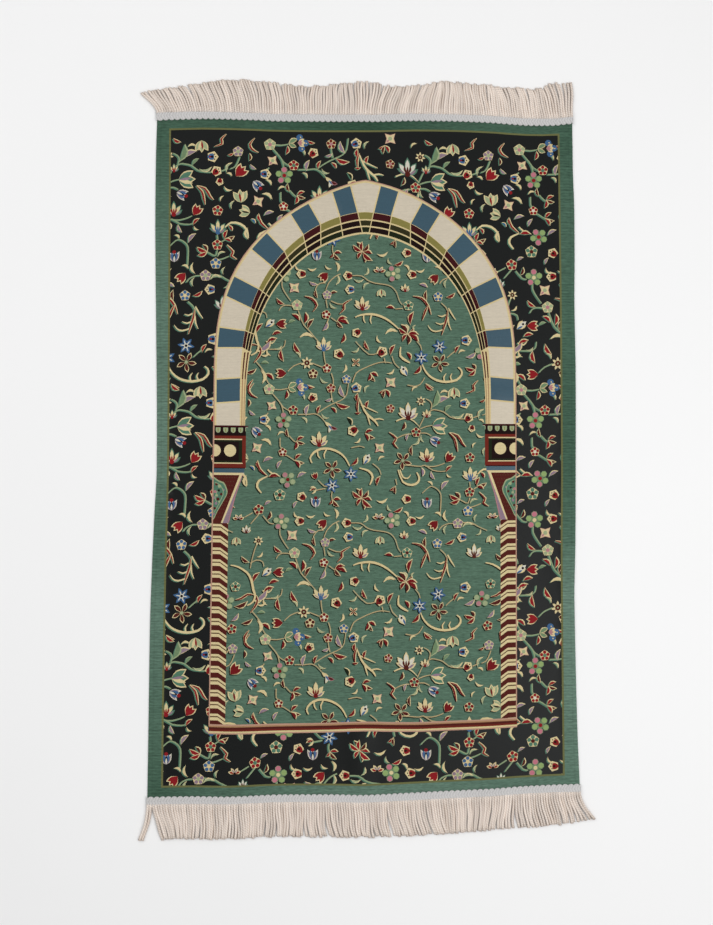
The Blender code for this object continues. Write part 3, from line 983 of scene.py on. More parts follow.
# Leaves of the repeat: (x, y, turn, length) of each leaf's middle, by kind, in mm and degrees.
LEAVES: dict[LeafKind, Rows] = {
    LeafKind.RED: (
        (-131, 93, -100, 14), (-90, 107, -20, 12), (-77, 68, 70, 14), (-38, 76, -15, 22),
        (-53, 67, -50, 12), (107, 110, -30, 14), (137, -28, 45, 14), (-20, -17, 50, 16), (20, -48, 70, 16),
        (52, -95, 25, 16), (195, 85, 200, 10), (-145, -160, -40, 16), (-120, -187, -40, 16),
        (-105, -188, 85, 18), (-43, -222, -110, 16), (-118, -238, -60, 20), (-180, -205, 55, 18),
        (-143, -250, -80, 20), (-165, -285, -35, 16), (-97, -302, -20, 10), (37, -170, -8, 14),
        (138, -147, 25, 16), (73, -187, 75, 22), (-3, -233, -65, 16), (40, -240, 65, 18),
        (80, -272, 50, 18), (148, -238, 60, 14), (100, -300, -40, 16), (-160, -226, 25, 18),
    ),
    LeafKind.MAROON: (
        (-193, 80, -90, 12), (-129, 30, -80, 14), (62, 42, -110, 14), (76, 2, -90, 16),
        (-160, -105, -110, 14), (-85, -148, -80, 14), (-57, -147, 15, 12), (-198, -175, -40, 16),
        (-95, -198, 60, 18), (-205, -247, 20, 22), (-195, -275, 200, 18), (98, -148, -90, 16),
    ),
    LeafKind.LAVENDER: (
        (-61, 85, 200, 12), (-38, 98, -70, 20), (-96, 67, 75, 18), (-187, 64, -40, 12), (-162, -14, 20, 16),
        (-143, -22, -120, 14), (-107, -40, 30, 16), (-117, -88, -120, 12), (-162, -85, 30, 12),
        (69, 24, -110, 12), (92, -33, -85, 14), (110, -38, -65, 14), (130, -55, 50, 18),
        (-90, -130, -20, 14), (-72, -202, -120, 16), (-215, -268, 45, 16), (93, -132, -20, 14),
        (170, -247, 25, 18), (127, 84, 27, 26), (-172, -234, 40, 24),
    ),
    LeafKind.PALE: (
        (-105, 89, -50, 12), (-67, 58, -30, 14), (-102, 50, -50, 12), (3, 102, -120, 14),
        (82, 18, -130, 16), (94, 22, -70, 12), (178, -83, 30, 14), (153, 62, 10, 20), (193, 62, 60, 18),
        (38, -92, -60, 12), (-52, -125, -100, 16), (-58, -167, -40, 14), (-118, -250, -50, 12),
        (-75, -291, -35, 14), (-15, -123, 180, 16), (-3, -110, 65, 14), (-2, -135, 50, 14),
        (132, -128, -100, 14), (168, -123, 10, 18), (185, -133, 50, 12), (182, -110, 75, 12),
        (63, -203, 110, 12), (77, -203, 70, 10), (-23, -240, 30, 14), (198, 0, 70, 14),
        (-150, -236, 20, 12),
    ),
    LeafKind.CREAM: (
        (-162, 38, -45, 12), (-140, 28, 200, 12), (-165, 14, -30, 18), (-197, -48, -90, 18),
        (82, 103, 40, 12), (137, -38, -40, 10), (25, -12, 30, 12), (-15, 18, 40, 12), (105, -52, -40, 10),
        (25, -78, 10, 18), (192, 50, -30, 10), (190, 28, -25, 14), (180, 10, 60, 10), (-115, -104, -50, 12),
        (-92, -105, 180, 14), (-65, -103, -30, 12), (-52, -103, -80, 16), (-175, -168, 40, 12),
        (-103, -221, 0, 22), (-165, -245, -60, 12), (-178, -285, -85, 22), (-42, -272, 70, 14),
        (65, -103, -50, 12), (88, -105, 10, 14), (118, -103, -30, 12), (133, -105, -80, 18),
        (38, -212, 10, 20), (18, -222, -60, 14), (155, -243, 20, 12), (35, -275, 30, 14), (131, 98, 5, 13),
        (-172, -247, 10, 14),
    ),
    LeafKind.GREEN: ((137, 72, 45, 14), (-127, -195, 200, 12), (-172, -263, 0, 12), (115, 88, 72, 28)),
    LeafKind.DARK: ((-27, 49, -60, 14),),
    LeafKind.BLUE: ((-188, -27, -45, 10),),
}

# Sprigs: a foot, and the tips of the leaves that leave it, x and y by turns.
SPRIGS: Rows = (
    (-115, 17, -102, 23, -101, 12, -118, 2), (-118, -15, -107, -5, -102, -20, -110, -28),
    (-56, -80, -42, -80, -45, -92, -62, -88), (33, 103, 22, 97, 30, 88, 40, 90),
    (-2, 30, 12, 35, 15, 22, 4, 17), (48, -56, 38, -64, 48, -70), (183, -57, 188, -42, 200, -52, 195, -62),
    (155, -78, 137, -70, 147, -66, 138, -84), (-52, -192, -32, -198, -42, -205, -35, -188),
    (178, -272, 160, -268, 172, -262, 165, -282), (2, -278, 15, -284, 10, -293, -2, -292),
    (-8, -77, -24, -66, -17, -61, -8, -60, -16, -90, -4, -96, 9, -92, 9, -80, 3, -64),
    (65, -213, 50, -203, 54, -197, 84, -226, 76, -203, 66, -231, 56, -226, 84, -214), (-176, -28, -179, -14),
    (-162, -42, -143, -41), (-13, 80, -13, 96), (-8, 64, -18, 63), (1, 70, 5, 84), (-160, -216, -143, -212),
    (63, -243, 70, -256), (190, -34, 196, -44))

# Long red leaves: the points that each winds through.
WINDING_LEAVES: Rows = (
    (-184, 112, -192, 102, -188, 93, -178, 88), (38, 32, 50, 22, 45, 14, 53, 5),
    (188, 118, 180, 110, 181, 102, 168, 97), (187, -67, 197, -78, 194, -85, 203, -91),
    (-105, -152, -93, -156, -85, -167, -92, -178), (-27, -157, -40, -165, -40, -173, -48, -182),
    (-192, -290, -199, -300, -198, -310), (75, -150, 90, -153, 100, -165, 105, -180),
    (100, -165, 95, -175, 90, -190), (-179, -17, -175, -30, -163, -40), (-13, 64, -14, 76, -10, 88),
    (138, 32, 152, 27, 160, 14, 166, 8), (138, 32, 147, 22, 150, 10, 152, 0),
    (133, -172, 131, -186, 127, -198, 122, -214), (-214, -240, -204, -238, -194, -232, -184, -233),
    (-190, -262, -182, -252, -178, -243, -180, -234))

# Thick pale scrolls and crescents, and the hooks on them.
SCROLLS: Rows = (
    (-28, -25, -35, -12, -45, -3, -60, 3, -75, 3, -87, -3, -93, -12, -90, -20),
    (-22, -187, -12, -183, 5, -181, 20, -184, 35, -192, 50, -205),
    (88, -262, 92, -272, 100, -282, 112, -289, 128, -292, 145, -289, 154, -280, 153, -272, 148, -268),
    (-222, -184, -210, -187, -195, -197, -188, -210, -185, -225, -182, -235, -186, -245, -195, -250),
    (52, -30, 60, -50, 75, -55, 85, -50, 87, -42, 83, -34),
    (184, -38, 194, -30, 209, -32, 220, -42, 222, -56), (-163, -41, -177, -48, -180, -58, -173, -68),
    (-12, -28, 3, -32, 10, -42, 5, -55), (53, -235, 52, -250, 62, -258, 68, -261),
    (-10, 85, -3, 68, 5, 58, 15, 50, 20, 42))
HOOKS: Rows = (
    (-81, 1, -80, -8, -76, -13), (-66, 2, -70, -6, -69, -13), (-8, -184, -8, -191, -5, -196),
    (5, -183, 3, -191, 5, -197), (138, -291, 135, -284, 138, -278), (125, -291, 124, -284, 128, -278),
    (55, -30, 60, -42, 68, -44, 73, -38), (50, 50, 60, 54, 70, 55, 80, 50, 88, 42),
    (-163, -30, -155, -37, -142, -42), (-8, 76, 6, 70, 20, 64), (2, 60, 5, 50, 7, 43),
    (12, 52, 22, 54, 30, 52), (-184, -242, -176, -246, -170, -240), (-170, -227, -160, -230, -154, -224),
    (129, -180, 123, -183, 116, -181), (128, -193, 120, -196, 112, -193),
    (124, -205, 112, -208, 104, -205, 99, -198), (134, -169, 140, -180, 146, -189),
    (133, -184, 134, -196, 138, -206))

# Stems, from joint to joint.
STEMS: Rows = (
    (-152, 102, -140, 101, -128, 103), (-153, 94, -143, 82, -136, 72, -126, 66),
    (-140, 78, -137, 68, -136, 58), (-112, 60, -95, 60, -85, 61, -76, 57, -67, 47),
    (-80, 62, -68, 70, -57, 76, -48, 80, -38, 85, -31, 94, -28, 113), (-54, 80, -56, 88, -57, 96),
    (-142, 22, -142, 8, -139, 5), (-127, 25, -120, 17, -115, 14), (-136, -7, -130, -8, -117, -17),
    (-62, -57, -70, -58, -80, -48), (-68, -62, -80, -64, -88, -66), (-57, -67, -58, -75, -55, -85),
    (-161, 63, -165, 58), (88, 40, 93, 50, 97, 58),
    (104, 66, 112, 70, 120, 69, 130, 66, 140, 58, 150, 55, 163, 54), (179, 56, 190, 60),
    (108, 70, 110, 78, 107, 84, 100, 88), (90, 38, 100, 42, 110, 44), (91, 31, 100, 31, 108, 27),
    (75, 29, 65, 28, 55, 24, 50, 21), (60, -22, 75, -23, 90, -24, 97, -22, 110, -30, 125, -32, 131, -31),
    (97, -23, 110, -24, 123, -21, 130, -18), (48, -45, 50, -55),
    (122, -100, 123, -85, 123, -70, 118, -62, 110, -57, 103, -58, 92, -68),
    (171, -76, 168, -85, 160, -82, 150, -76), (172, -58, 171, -50), (178, -62, 188, -56),
    (172, -92, 180, -90, 190, -86), (-177, -103, -190, -118), (-187, -100, -200, -107),
    (-170, -105, -160, -117, -152, -119), (-142, -127, -142, -137, -135, -150, -128, -160),
    (-125, -168, -137, -167, -144, -170, -148, -176),
    (-116, -176, -112, -188, -107, -200, -98, -210, -90, -220, -83, -228), (-75, -243, -74, -255, -72, -265),
    (-78, -270, -95, -263), (-112, -263, -125, -268, -135, -277), (-63, -280, -60, -290, -60, -300),
    (-45, -115, -55, -120, -65, -130, -70, -142), (-70, -158, -68, -172), (-62, -188, -52, -195),
    (-66, -190, -72, -203), (-62, -160, -50, -165, -40, -165), (-70, -130, -80, -131, -87, -140, -85, -150),
    (-180, -153, -183, -160, -187, -175, -190, -190), (-190, -182, -180, -177, -170, -180, -168, -188),
    (-187, -260, -175, -275, -170, -290, -165, -298),
    (-165, -240, -155, -240, -148, -240, -140, -235, -138, -225),
    (-27, -118, -10, -118, 0, -125, 12, -129, 28, -131, 40, -135, 48, -145, 52, -158, 57, -165),
    (58, -171, 45, -172), (80, -225, 86, -232, 88, -240), (120, -128, 125, -122, 135, -118, 143, -118),
    (159, -117, 165, -117, 175, -118, 185, -124, 200, -131), (122, -160, 130, -168, 133, -175),
    (145, -240, 138, -245, 130, -252), (14, -246, 0, -248, -15, -235, -22, -227), (25, -253, 27, -262),
    (-28, -295, -22, -280, -10, -272, 10, -263, 25, -260, 38, -262), (50, -270, 42, -262, 38, -250),
    (63, -298, 75, -300, 85, -296, 92, -285), (-209, 80, -213, 70, -218, 63, -225, 60),
    (10, -20, 20, -28, 24, -38), (-25, 5, -12, 8, -3, 6))


@dataclass(frozen=True)
class FloralRepeat:
    """The repeat of winding stems, leaves and flowers, woven over the field and the border.

    Each motif has an edge to its lower left: a dark one in the field, and a teal one on the
    dark border, where the flowers have none, the stems are greener and all is a little larger.
    Single leaves are slim or broad: their bow and their width, as shares of the length.
    """

    ground: Ground
    across: float = 419.0
    up: float = 408.0
    drift: float = 6.7
    spread: float = 1.004
    shorten: float = 0.997
    shift: float = 0.9
    skew: float = -0.0145
    draw_in: float = 0.8
    bow: Rows = ((-330, 0), (-190, 2.5), (-110, 3.5), (-30, 4), (50, 1.5), (130, -1.5), (210, -0.5), (330, 1))
    reach: tuple[float, float] = (335.0, 543.0)
    shade_step: tuple[float, float] = (-1.9, -1.4)
    teal_step: tuple[float, float] = (-1.9, -1.2)
    inner_step: tuple[float, float] = (-0.6, -0.45)
    stem_width: float = 1.8
    scroll_width: float = 3.8
    slim_leaf: tuple[float, float] = (0.26, 0.17)
    broad_leaf: tuple[float, float] = (0.15, 0.31)
    sprig_bow: float = 0.14
    leaf_growth: float = 1.12
    border_growth: float = 1.08

    @property
    def in_field(self) -> bool:
        """Whether this is the green field's version."""
        return self.ground is Ground.FIELD

    @property
    def red(self) -> Yarn:
        """The red of this version's leaves and flowers."""
        return Yarn.RED if self.in_field else Yarn.BRIGHT_RED

    def lit_leaf(self, length: float, width: float, bend: float, kind: tuple[Yarn, Yarn],
                 foot: tuple[float, float, float], turn: float) -> Layers:
        """One leaf in place, whose edge shows more on its upper right.

        Args:
            length: Of the leaf.
            width: At its widest.
            bend: How far it bows.
            kind: Its edge's yarn and its inner one.
            foot: Where it stands (x, y), and how far below that it starts.
            turn: The way it points.

        Returns:
            The leaf's two layers.
        """
        edge, inner = kind
        inner = self.red if inner is Yarn.RED else inner
        drawn = dropped(leaf(length, width, bend, edge, inner), foot[2])
        outer, middle = moved(drawn, foot[0], foot[1], turn)
        return [outer, (middle[0] + self.inner_step, middle[1])]

    def flowers(self) -> list[Layers]:
        """Every flower of one repeat, in place.

        Returns:
            Each flower's layers.
        """
        edge = Yarn.CREAM
        growth = 1.0 if self.in_field else self.border_growth
        others = (edge, Yarn.PINK, Yarn.PALE) if self.in_field else (Yarn.TEAL, Yarn.ROSE, Yarn.LIME)
        kit = Motifs(edge, self.red, *others)
        made = []
        for bloom in BLOOMS:
            yarns = [yarn or self.red for yarn in bloom.yarns]
            made += [moved(bloom.motif(kit, size * growth, *yarns), x, y, *turn)
                     for x, y, size, *turn in bloom.rows]
        return made

    def leaves(self) -> list[Layers]:
        """Every leaf of one repeat: single ones, sprigs and long winding ones.

        Returns:
            Each leaf's layers.
        """
        made = []
        for kind, rows in LEAVES.items():
            bow, share = self.slim_leaf if kind in (LeafKind.CREAM, LeafKind.PALE) else self.broad_leaf
            for number, (x, y, turn, usual) in enumerate(rows):
                bend = bow if number % 2 else -bow
                length = usual * self.leaf_growth
                wide = share * length + 1.0
                made.append(self.lit_leaf(length, wide, bend, kind.value, (x, y, 0.5 * length), turn))
        for foot, *tips in (np.reshape(sprig, (-1, 2)) for sprig in SPRIGS):
            for number, tip in enumerate(tips):
                reach = math.dist(foot, tip)
                turn = math.degrees(math.atan2(tip[1] - foot[1], tip[0] - foot[0]))
                bend = self.sprig_bow if number % 2 else -self.sprig_bow
                kind = (Yarn.CREAM, Yarn.MAROON if number % 3 == 1 else Yarn.RED)
                made.append(self.lit_leaf(reach, 0.34 * reach + 1.2, bend, kind, (*foot, 0.0), turn))
        for path in WINDING_LEAVES:
            made.append([(stroke(path, 1.4, 4.8, 1.0), Yarn.CREAM),
                         (stroke(path, 0.6, 3.0, 0.5) + self.inner_step, self.red)])
        return made

    def scrolls(self) -> list[Layers]:
        """The thick pale scrolls and their hooks.

        Returns:
            Each scroll's layer.
        """
        wide = self.scroll_width
        edge = Yarn.STRAW if self.in_field else Yarn.CREAM
        return ([[(stroke(path, 1.8, wide, 2.0), edge)] for path in SCROLLS]
                + [[(stroke(path, 2.2, 2.4, 0.9, 2), edge)] for path in HOOKS])

    def stems(self) -> list[Layers]:
        """The thin stems.

        Returns:
            Each stem's layer.
        """
        wide = self.stem_width if self.in_field else self.stem_width * 1.2
        yarn = Yarn.STEM if self.in_field else Yarn.BORDER_STEM
        return [[(stroke(path, wide, wide, 0.8 * wide, 2), yarn)] for path in STEMS]

    def settled(self, outline: Outline) -> Outline:
        """Points of the repeat as they lie in the weave, which leans and bows a little.

        What passes the reach, under the hem, is drawn in to a fifth of its distance past it.

        Args:
            outline: The points, in mm.

        Returns:
            The points as they lie.
        """
        x, y = outline[:, 0], outline[:, 1]
        settled = np.column_stack([self.spread * x + self.skew * y - self.shift,
                                   self.shorten * y + along(self.bow, x)])
        past = np.maximum(np.abs(settled) - self.reach, 0.0)
        return settled - self.draw_in * np.sign(settled) * past

    def patches(self, kept: Callable[[Outline], bool]) -> list[Patch]:
        """Every copy of the repeat that reaches the ground, lowest layers first.

        Args:
            kept: Whether an outline reaches the ground.

        Returns:
            The patches: shades, then stems, scrolls, leaves and flowers.
        """
        groups = [self.stems(), self.scrolls(), self.leaves(), self.flowers()]
        step_right = np.array([self.across, 0.0])
        step_up = np.array([self.drift, self.up])
        under, shade_step = (Yarn.SHADE, self.shade_step) if self.in_field else (Yarn.TEAL, self.teal_step)
        shades: list[Patch] = []
        drawn: list[Patch] = []
        for number, group in enumerate(groups):
            shaded = self.in_field or number < 3
            for row in (-1, 0, 1):
                for column in (-1, 0, 1):
                    step = column * step_right + row * step_up
                    for layers in group:
                        placed = [(self.settled(outline + step), yarn) for outline, yarn in layers]
                        placed = [(outline, yarn) for outline, yarn in placed if kept(outline)]
                        if shaded and placed:
                            shades += [Patch(outline + shade_step, under, self.ground)
                                       for outline, yarn in placed if yarn is placed[0][1]]
                        drawn += [Patch(outline, yarn, self.ground) for outline, yarn in placed]
        return shades + drawn


def covered(outline: Outline, region: Outline) -> np.ndarray:
    """Whether each point lies in a region: the crossings of a line to its right are odd.

    Args:
        outline: The points.
        region: The region's corners.

    Returns:
        A truth value for each point.
    """
    x, y = outline[:, :1], outline[:, 1:]
    ax, ay = region[:, 0], region[:, 1]
    bx, by = np.roll(ax, -1), np.roll(ay, -1)
    level = np.where(by == ay, 1.0, by - ay)
    crosses = ((ay > y) != (by > y)) & (x < ax + (y - ay) / level * (bx - ax))
    return crosses.sum(axis=1) % 2 == 1


def flora_patches(loom: "Loom", arch: WovenArch) -> list[Patch]:
    """The flowers of the field, and those of the border outside the arch.

    Args:
        loom: Whose gold line bounds the border.
        arch: Whose frame lies between the two grounds.

    Returns:
        Their patches.
    """
    frame, field = (patch.outline + (arch.aside, 0.0) for patch in arch.grounds())
    reach_x, reach_y = loom.gold_across, loom.gold_along

    def in_border(outline: Outline) -> bool:
        """Whether any point is inside the gold line and outside the frame."""
        inside = (np.abs(outline[:, 0]) < reach_x) & (np.abs(outline[:, 1]) < reach_y)
        return bool(np.any(inside)) and bool(np.any(inside & ~covered(outline, frame)))

    def in_field(outline: Outline) -> bool:
        """Whether any point is in the field."""
        return bool(np.any(covered(outline, field)))

    return [*FloralRepeat(Ground.BORDER).patches(in_border), *FloralRepeat(Ground.FIELD).patches(in_field)]


# ---------------------------------------------------------------- the woven cloth
def crossings(lines: np.ndarray, rows: np.ndarray) -> tuple[np.ndarray, np.ndarray]:
    """Where upright lines cross level rows, row by row, as places across and up."""
    u, v = np.meshgrid(lines, rows)
    return u.ravel(), v.ravel()


def flattened(lists: Sequence[Sequence[int]]) -> tuple[np.ndarray, np.ndarray]:
    """How long each list is, and the numbers of all of them in one row."""
    counts = np.array([len(some) for some in lists])
    return counts, np.fromiter((number for some in lists for number in some), int, counts.sum())


def corner_numbers(mesh: bpy.types.Mesh) -> tuple[np.ndarray, np.ndarray]:
    """The point at each corner of each face, and how many corners each face has.

    Args:
        mesh: Whose faces are read.

    Returns:
        The point numbers, face by face, and the counts.
    """
    corners, sides = np.zeros(len(mesh.loops), int), np.zeros(len(mesh.polygons), int)
    mesh.loops.foreach_get("vertex_index", corners)
    mesh.polygons.foreach_get("loop_total", sides)
    return corners, sides


def carry(mesh: bpy.types.Mesh, name: str, domain: str, values: np.ndarray) -> None:
    """Adds numbers or colours to a mesh under a name, for its finish to read."""
    kind, key = ("FLOAT", "value") if values.ndim == 1 else ("FLOAT_COLOR", "color")
    mesh.attributes.new(name, kind, domain).data.foreach_set(key, values.astype(np.float32).ravel())


def lay_out(mesh: bpy.types.Mesh, name: str, spots: np.ndarray) -> None:
    """Adds a map to a mesh: the spot on it of each corner of each face."""
    mesh.uv_layers.new(name=name).data.foreach_set("uv", spots.astype(np.float32).ravel())


@dataclass(frozen=True)
class Loom:
    """How the design lies on the cloth, which was not woven quite square.

    Rows of a stray are (place along the rug in m, distance in mm, + towards +X).
    """

    form: RugForm
    gold_across: float = 327.0
    gold_along: float = 535.0
    gold_line: float = 3.0
    points_a_side: int = 24
    left_stray: Rows = ((-0.54, -3.2), (-0.45, -2.8), (-0.20, 0), (0, 3.8), (0.20, 4), (0.54, 4))
    right_stray: Rows = ((-0.54, -4.5), (-0.25, -4.5), (0, -1), (0.30, 0), (0.54, -0.3))

    def placed(self, outline: Outline) -> Outline:
        """The design's points, from mm on the chart to metres on the floor.

        Across, a point moves by a blend of the strays of the two gold lines. Along, it moves as
        the cloth does.

        Args:
            outline: Points of the chart.

        Returns:
            The same points on the floor.
        """
        u, v = outline[:, 0] * MM, outline[:, 1] * MM
        half = self.gold_across * MM
        share = (u + half) / (2.0 * half)
        x = u + MM * (along(self.left_stray, v) * (1.0 - share) + along(self.right_stray, v) * share)
        return np.column_stack([x, self.form.laid(u, v)[1]])

    def band(self) -> list[Patch]:
        """The gold line, and the dark ground in it.

        Returns:
            The two patches.
        """
        outlines = []
        for out in (self.gold_line / 2.0, -self.gold_line / 2.0):
            across, high = self.gold_across + out, self.gold_along + out
            corners = box(-across, -high, across, high)
            outlines.append(np.concatenate([np.linspace(a, b, self.points_a_side, endpoint=False)
                                            for a, b in zip(corners, np.roll(corners, -1, axis=0))]))
        gold, dark = outlines
        return [Patch(gold, Yarn.GOLD, Ground.HEM), Patch(dark, Yarn.NIGHT, Ground.BORDER, True)]


@dataclass(frozen=True)
class PaintedHemShade:
    """Painted light and shade on the hems: how much lighter or darker their colour is painted at each place
    along them.

    Rows are (place along the edge in m, share of the yarn's colour painted there, below 1 as painted shade
    and above 1 as painted light).
    """

    form: RugForm
    left: Rows = (
        (-0.56, 0.55), (-0.38, 0.80), (-0.25, 0.95), (-0.13, 0.72), (0, 1), (0.25, 0.93), (0.56, 0.52))
    right: Rows = ((-0.56, 0.95), (-0.25, 1.1), (-0.13, 0.72), (0, 0.58), (0.38, 0.68), (0.56, 0.54))
    near: Rows = ((-0.36, 0.5), (-0.22, 0.74), (0, 0.98), (0.36, 0.85))
    far: Rows = ((-0.36, 0.6), (-0.15, 0.50), (0, 0.40), (0.15, 0.58), (0.36, 0.62))
    corner_blend: float = 0.03

    def lightness(self, u: np.ndarray, v: np.ndarray) -> np.ndarray:
        """The share at each place: the side hems' rows, or an end hem's where that edge is nearer.

        Args:
            u: Places across the true rectangle.
            v: Places along it.

        Returns:
            The shares.
        """
        beside = np.where(u < 0.0, along(self.left, v), along(self.right, v))
        at_end = np.where(v < 0.0, along(self.near, u), along(self.far, u))
        from_side = self.form.half_width - np.abs(u)
        from_end = self.form.length / 2.0 - np.abs(v)
        share = np.clip(0.5 + (from_side - from_end) / self.corner_blend, 0.0, 1.0)
        return beside * (1.0 - share) + at_end * share


@dataclass
class WovenCloth:
    """The rug's cloth: one closed sheet whose upper side is cut into the patches of the design.

    The cut joins points nearer than merge. A larger merge loses patches at thin slivers.
    """

    form: RugForm
    loom: Loom
    design: Sequence[Patch]
    finish: bpy.types.Material
    name: str = "rug_cloth_woven"
    grid: float = 0.016
    hem_clear: float = 0.028
    underside_grid: float = 0.022
    underside_start: float = 0.012
    underside_stop: float = 0.010
    rim_pitch: float = 0.007
    rim_inset: float = 0.0011
    rim_turns: tuple[float, ...] = (0.25, 0.5, 0.75, 1.0)
    merge: float = 3.5e-5
    underside_merge: float = 1.0e-6
    top_share: float = 0.98
    underside_scale: float = 0.5
    # How much more the hem's painted shade darkens red and blue than green.
    deepening: tuple[float, float, float] = (1.35, 1.0, 1.2)

    def rim_loop(self, inset: float) -> tuple[np.ndarray, np.ndarray]:
        """A loop round the true rectangle, drawn in by an inset, run anticlockwise.

        Args:
            inset: Distance inside the cloth's edge.

        Returns:
            The loop's u and v, with the same number of points whatever the inset.
        """
        half_u, half_v = self.form.half_width, self.form.half_cut
        across = np.linspace(-1.0, 1.0, round(2.0 * half_u / self.rim_pitch) + 1)[:-1]
        up = np.linspace(-1.0, 1.0, round(2.0 * half_v / self.rim_pitch) + 1)[:-1]
        u = np.concatenate([across, np.ones(len(up)), -across, -np.ones(len(up))])
        v = np.concatenate([-np.ones(len(across)), up, np.ones(len(across)), -up])
        return u * (half_u - inset), v * (half_v - inset)

    def grid_points(self) -> Outline:
        """An even grid on the floor inside the rim, with lines along the steps of both hems.

        Returns:
            The points (x, y).
        """
        form = self.form
        count_u, count_v = round(form.width / self.grid), round(2.0 * form.half_cut / self.grid)
        lines = np.linspace(-1.0, 1.0, count_u)[1:-1] * (form.half_width - self.rim_inset)
        hem = np.array([form.hem_round, form.hem_width, form.hem_width + form.hem_step])
        lines = np.concatenate([lines[np.abs(lines) < form.half_width - self.hem_clear],
                                form.half_width - hem, hem - form.half_width])
        rows = np.linspace(-1.0, 1.0, count_v)[1:-1] * (form.half_cut - self.rim_inset)
        return np.column_stack(form.laid(*crossings(lines, rows)))

    def topmost(self, over: Sequence[Sequence[int]]) -> tuple[np.ndarray, np.ndarray]:
        """The patch that shows on each piece of the cut: the last one over it in its own ground.

        Args:
            over: Numbers of the outlines that each piece lies in; 0 is the cloth's rim.

        Returns:
            Numbers of the pieces that are on the cloth, and of the patch that each shows.
        """
        counts, flat = flattened(over)
        covered_some = np.flatnonzero(counts > 0)
        first = np.concatenate([[0], np.cumsum(counts)])[covered_some]
        ground = np.array([Ground.HEM.value] + [patch.ground.value for patch in self.design])
        is_ground = np.array([True] + [patch.is_ground for patch in self.design])
        in_ground = np.maximum.reduceat(np.where(is_ground[flat], ground[flat], -1), first)
        owner = np.repeat(in_ground, counts[covered_some])
        shown = np.maximum.reduceat(np.where(ground[flat] == owner, flat, 0), first)
        on_cloth = in_ground >= 0
        return covered_some[on_cloth], shown[on_cloth]

    def partition(self) -> tuple[np.ndarray, np.ndarray, np.ndarray, list[int]]:
        """Cuts the upper side along every outline of the design.

        A constrained triangulation takes the outlines, the rim and an even grid of points.

        Returns:
            Its points (x, y), its triangles, the number of the patch that each shows, and the
            numbers of the points on the rim.
        """
        rim = np.column_stack(self.form.laid(*self.rim_loop(self.rim_inset)))
        outlines = [rim] + [self.loom.placed(patch.outline) for patch in self.design]
        outlines = [facing_up(outline) for outline in outlines]
        starts = np.cumsum([0] + [len(outline) for outline in outlines])
        points = np.concatenate([*outlines, self.grid_points()])
        loops = [list(range(a, b)) for a, b in zip(starts[:-1], starts[1:])]
        places, _, pieces, made_of, _, over = delaunay_2d_cdt(
            [Vector(point) for point in points.tolist()], [], loops, 0, self.merge, True)
        places = np.array([tuple(point) for point in places])
        kept, shown = self.topmost(over)
        counts, source = flattened(made_of)
        on_rim = source < len(rim)
        rim_points = np.zeros(len(rim), int)
        rim_points[source[on_rim]] = np.repeat(np.arange(len(places)), counts)[on_rim]
        faces = [pieces[number] for number in kept]
        shown = np.repeat(shown, [len(face) - 2 for face in faces])
        corners = np.array([(face[0], a, b) for face in faces for a, b in zip(face[1:], face[2:])])
        used, corners = np.unique(corners, return_inverse=True)
        return places[used], corners.reshape(-1, 3), shown, np.searchsorted(used, rim_points).tolist()

    def level(self, u: np.ndarray, v: np.ndarray, share: float) -> tuple[np.ndarray, np.ndarray, np.ndarray]:
        """Points at a share of the cloth's thickness, after their u and v."""
        x, y = self.form.laid(u, v)
        return u, v, np.column_stack([x, y, self.form.lift(x, y) + share * self.form.thickness(u)])

    def build(self) -> bpy.types.Object:
        """Makes the whole sheet: the cut upper side, a rounded rim and a plain underside.

        The rim's profile is a half round: its inset is 1 - sin and its height 0.5 + 0.5 cos.

        Returns:
            The cloth.
        """
        form = self.form
        places, top_faces, shown, loop = self.partition()
        u, v = form.unlaid(places[:, 0], places[:, 1])
        height = form.lift(places[:, 0], places[:, 1]) + form.thickness(u)
        levels = [(u, v, np.column_stack([places, height]))]
        count = len(places)
        rim_faces: list[tuple[int, ...]] = []
        for turn in self.rim_turns:
            ring = self.rim_loop(self.rim_inset * (1.0 - math.sin(math.pi * turn)))
            levels.append(self.level(*ring, 0.5 + 0.5 * math.cos(math.pi * turn)))
            lower = list(range(count, count + len(ring[0])))
            rim_faces += list(zip(lower, lower[1:] + lower[:1], loop[1:] + loop[:1], loop))
            loop = lower
            count += len(lower)

        start, stop = self.underside_start, self.underside_stop
        under = crossings(*(np.arange(start - half, half - stop, self.underside_grid)
                            for half in (form.half_width, form.half_cut)))
        spread = np.concatenate([np.column_stack(self.rim_loop(self.rim_inset)), np.column_stack(under)])
        cut = delaunay_2d_cdt([Vector(point) for point in spread.tolist()], [],
                              [list(range(len(loop)))], 1, self.underside_merge, False)
        levels.append(self.level(*under, 0.0))
        numbers = loop + list(range(count, count + len(under[0])))
        under_faces = [[numbers[corner] for corner in face[::-1]] for face in cut[2]]

        faces = top_faces.tolist() + rim_faces + under_faces
        u, v, points = (np.concatenate(parts) for parts in zip(*levels))
        made = sheet_object(self.name, points, faces, self.finish)
        # The hem's painted light and shade, as a share of its colour at each point.
        self.colour(made.data, shown, PaintedHemShade(form).lightness(u, v))
        self.lay_map(made.data, u, v, len(top_faces) + len(rim_faces))
        carry(made.data, "from_edge", "POINT", form.half_width - np.abs(u))
        return made

